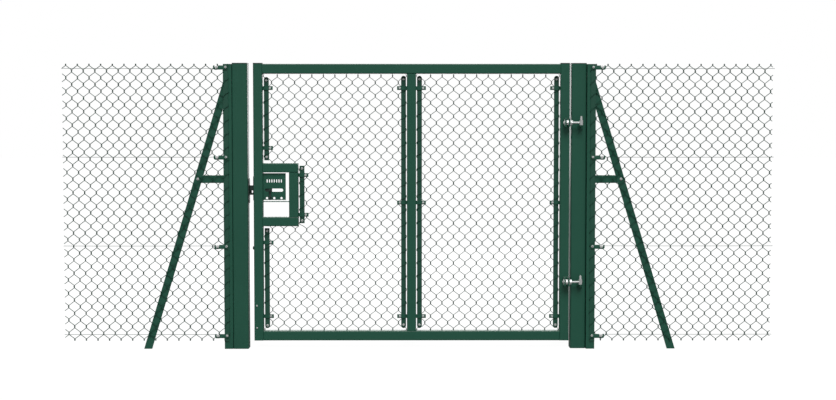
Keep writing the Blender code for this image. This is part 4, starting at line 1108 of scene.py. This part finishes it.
class GATE_OT_stage(bpy.types.Operator):
    """Camera, floor, sky and lamps."""

    bl_idname = "gate.stage"
    bl_label = "Stage"

    def execute(self, context):
        size = context.scene.gate_stage
        scene = context.scene
        lens = bpy.data.cameras.new("camera")
        lens.lens = size.lens
        lens.sensor_width = 36.0
        lens.clip_end = 200.0
        camera = bpy.data.objects.new("camera", lens)
        camera.location = (size.camera_x, size.camera_y, size.camera_z)
        camera.rotation_euler = (math.pi / 2 - size.pitch, 0.0, -size.yaw)
        scene.collection.objects.link(camera)
        scene.camera = camera

        self.make_sky(scene, size.sky)
        self.make_floor()
        self.lamp("key_lamp", "AREA", (-4.5, -7.5, 6.0), size.key, 5.0)
        self.lamp("sun_lamp", "SUN", (0.9, -8.0, 10.0), size.sun, size.sun_spread, target=(0.0, 0.0, 0.0))
        self.lamp("side_lamp", "AREA", (5.5, -5.0, 4.0), size.key * 0.35, 4.0)
        self.lamp("back_lamp", "AREA", (-1.0, 6.0, 4.0), size.fill, 7.0)
        scene.view_settings.view_transform = "Standard"
        return {"FINISHED"}

    def make_sky(self, scene, strength):
        """White behind the object and in its reflections, dimmer in front, and softer as light."""
        world = bpy.data.worlds.new("sky")
        world.use_nodes = True
        scene.world = world
        world.node_tree.nodes.clear()
        tree = Tree(world.node_tree)
        glossy = tree.rays("Glossy")
        seen = tree.rays("Camera").most(glossy).most(tree.rays("Transmission"))
        toward = tree.node("ShaderNodeTexCoord", output="Generated")
        behind = tree.node("ShaderNodeSeparateXYZ", {0: toward}, output="Y")
        dimmed = glossy * (0.38 - behind * 0.15).clamped(0.2, 0.5)
        light = tree.node("ShaderNodeBackground", {0: WHITE, 1: strength})
        white = tree.node("ShaderNodeBackground", {0: WHITE, 1: 1.0 - dimmed})
        both = tree.node("ShaderNodeMixShader", {0: seen, 1: light, 2: white})
        tree.node("ShaderNodeOutputWorld", {0: both})

    def make_floor(self):
        """White where the camera sees it, with faint shadows, and dull as a source of light."""
        mesh = bmesh.new()
        bmesh.ops.create_grid(mesh, x_segments=1, y_segments=1, size=60.0)
        material = bpy.data.materials.new("floor")
        material.use_nodes = True
        material.node_tree.nodes.clear()
        tree = Tree(material.node_tree)
        seen = tree.rays("Camera")
        dull = tree.node("ShaderNodeBsdfDiffuse", {0: (0.35, 0.35, 0.35, 1.0)})
        matt = tree.node("ShaderNodeBsdfDiffuse", {0: (0.80, 0.80, 0.80, 1.0)})
        glow = tree.node("ShaderNodeEmission", {0: WHITE, 1: 1.0})
        pale = tree.node("ShaderNodeMixShader", {0: 0.90, 1: matt, 2: glow})
        lifted = tree.node("ShaderNodeEmission", {0: WHITE, 1: 0.045})
        bright = tree.node("ShaderNodeAddShader", {0: pale, 1: lifted})
        both = tree.node("ShaderNodeMixShader", {0: seen, 1: dull, 2: bright})
        tree.node("ShaderNodeOutputMaterial", {0: both})
        from_mesh("floor", mesh, material)

    def lamp(self, name, kind, place, power, size, target=AIM):
        """A lamp turned to its target; a sun's size is the angle of its disc."""
        data = bpy.data.lights.new(name, kind)
        data.energy = power
        setattr(data, "angle" if kind == "SUN" else "size", size)
        lamp = bpy.data.objects.new(name, data)
        lamp.location = place
        lamp.rotation_euler = (Vector(target) - Vector(place)).to_track_quat("-Z", "Y").to_euler()
        bpy.context.scene.collection.objects.link(lamp)


class GATE_PT_panel(bpy.types.Panel):
    """Lists the gate's pieces in the order in which they are made."""

    bl_idname = "GATE_PT_panel"
    bl_label = "Chain link gate"
    bl_space_type = "VIEW_3D"
    bl_region_type = "UI"
    bl_category = "Gate"

    def draw(self, context):
        layout = self.layout
        for name in GROUPS:
            box = layout.box()
            group = getattr(context.scene, name)
            for key in group.__annotations__:
                box.prop(group, key)
        for operator in OPERATORS:
            layout.operator(operator.bl_idname)


GROUPS = {
    "gate_stage": GateStage,
    "gate_coats": GateCoats,
    "gate_weave": GateWeave,
    "gate_fixings": GateFixings,
}
OPERATORS = (
    GATE_OT_stage, GATE_OT_coats, GATE_OT_leaf_fabric, GATE_OT_fence_fabric, GATE_OT_bar_bolts,
    GATE_OT_line_wires, GATE_OT_hinge_fittings, GATE_OT_frame_welds, GATE_OT_lock_plate, GATE_OT_frame_bolts,
)


def register():
    for name, group in GROUPS.items():
        bpy.utils.register_class(group)
        setattr(bpy.types.Scene, name, PointerProperty(type=group))
    for operator in OPERATORS:
        bpy.utils.register_class(operator)
    bpy.utils.register_class(GATE_PT_panel)


def unregister():
    bpy.utils.unregister_class(GATE_PT_panel)
    for operator in reversed(OPERATORS):
        bpy.utils.unregister_class(operator)
    for name, group in GROUPS.items():
        delattr(bpy.types.Scene, name)
        bpy.utils.unregister_class(group)


def main():
    register()
    bpy.ops.gate.stage()
    bpy.ops.gate.coats()
    bpy.ops.gate.leaf_fabric()
    bpy.ops.gate.fence_fabric()
    bpy.ops.gate.bar_bolts()
    bpy.ops.gate.line_wires()
    bpy.ops.gate.hinge_fittings()
    bpy.ops.gate.frame_welds()
    bpy.ops.gate.lock_plate()
    bpy.ops.gate.frame_bolts()


if __name__ == "__main__":
    main()
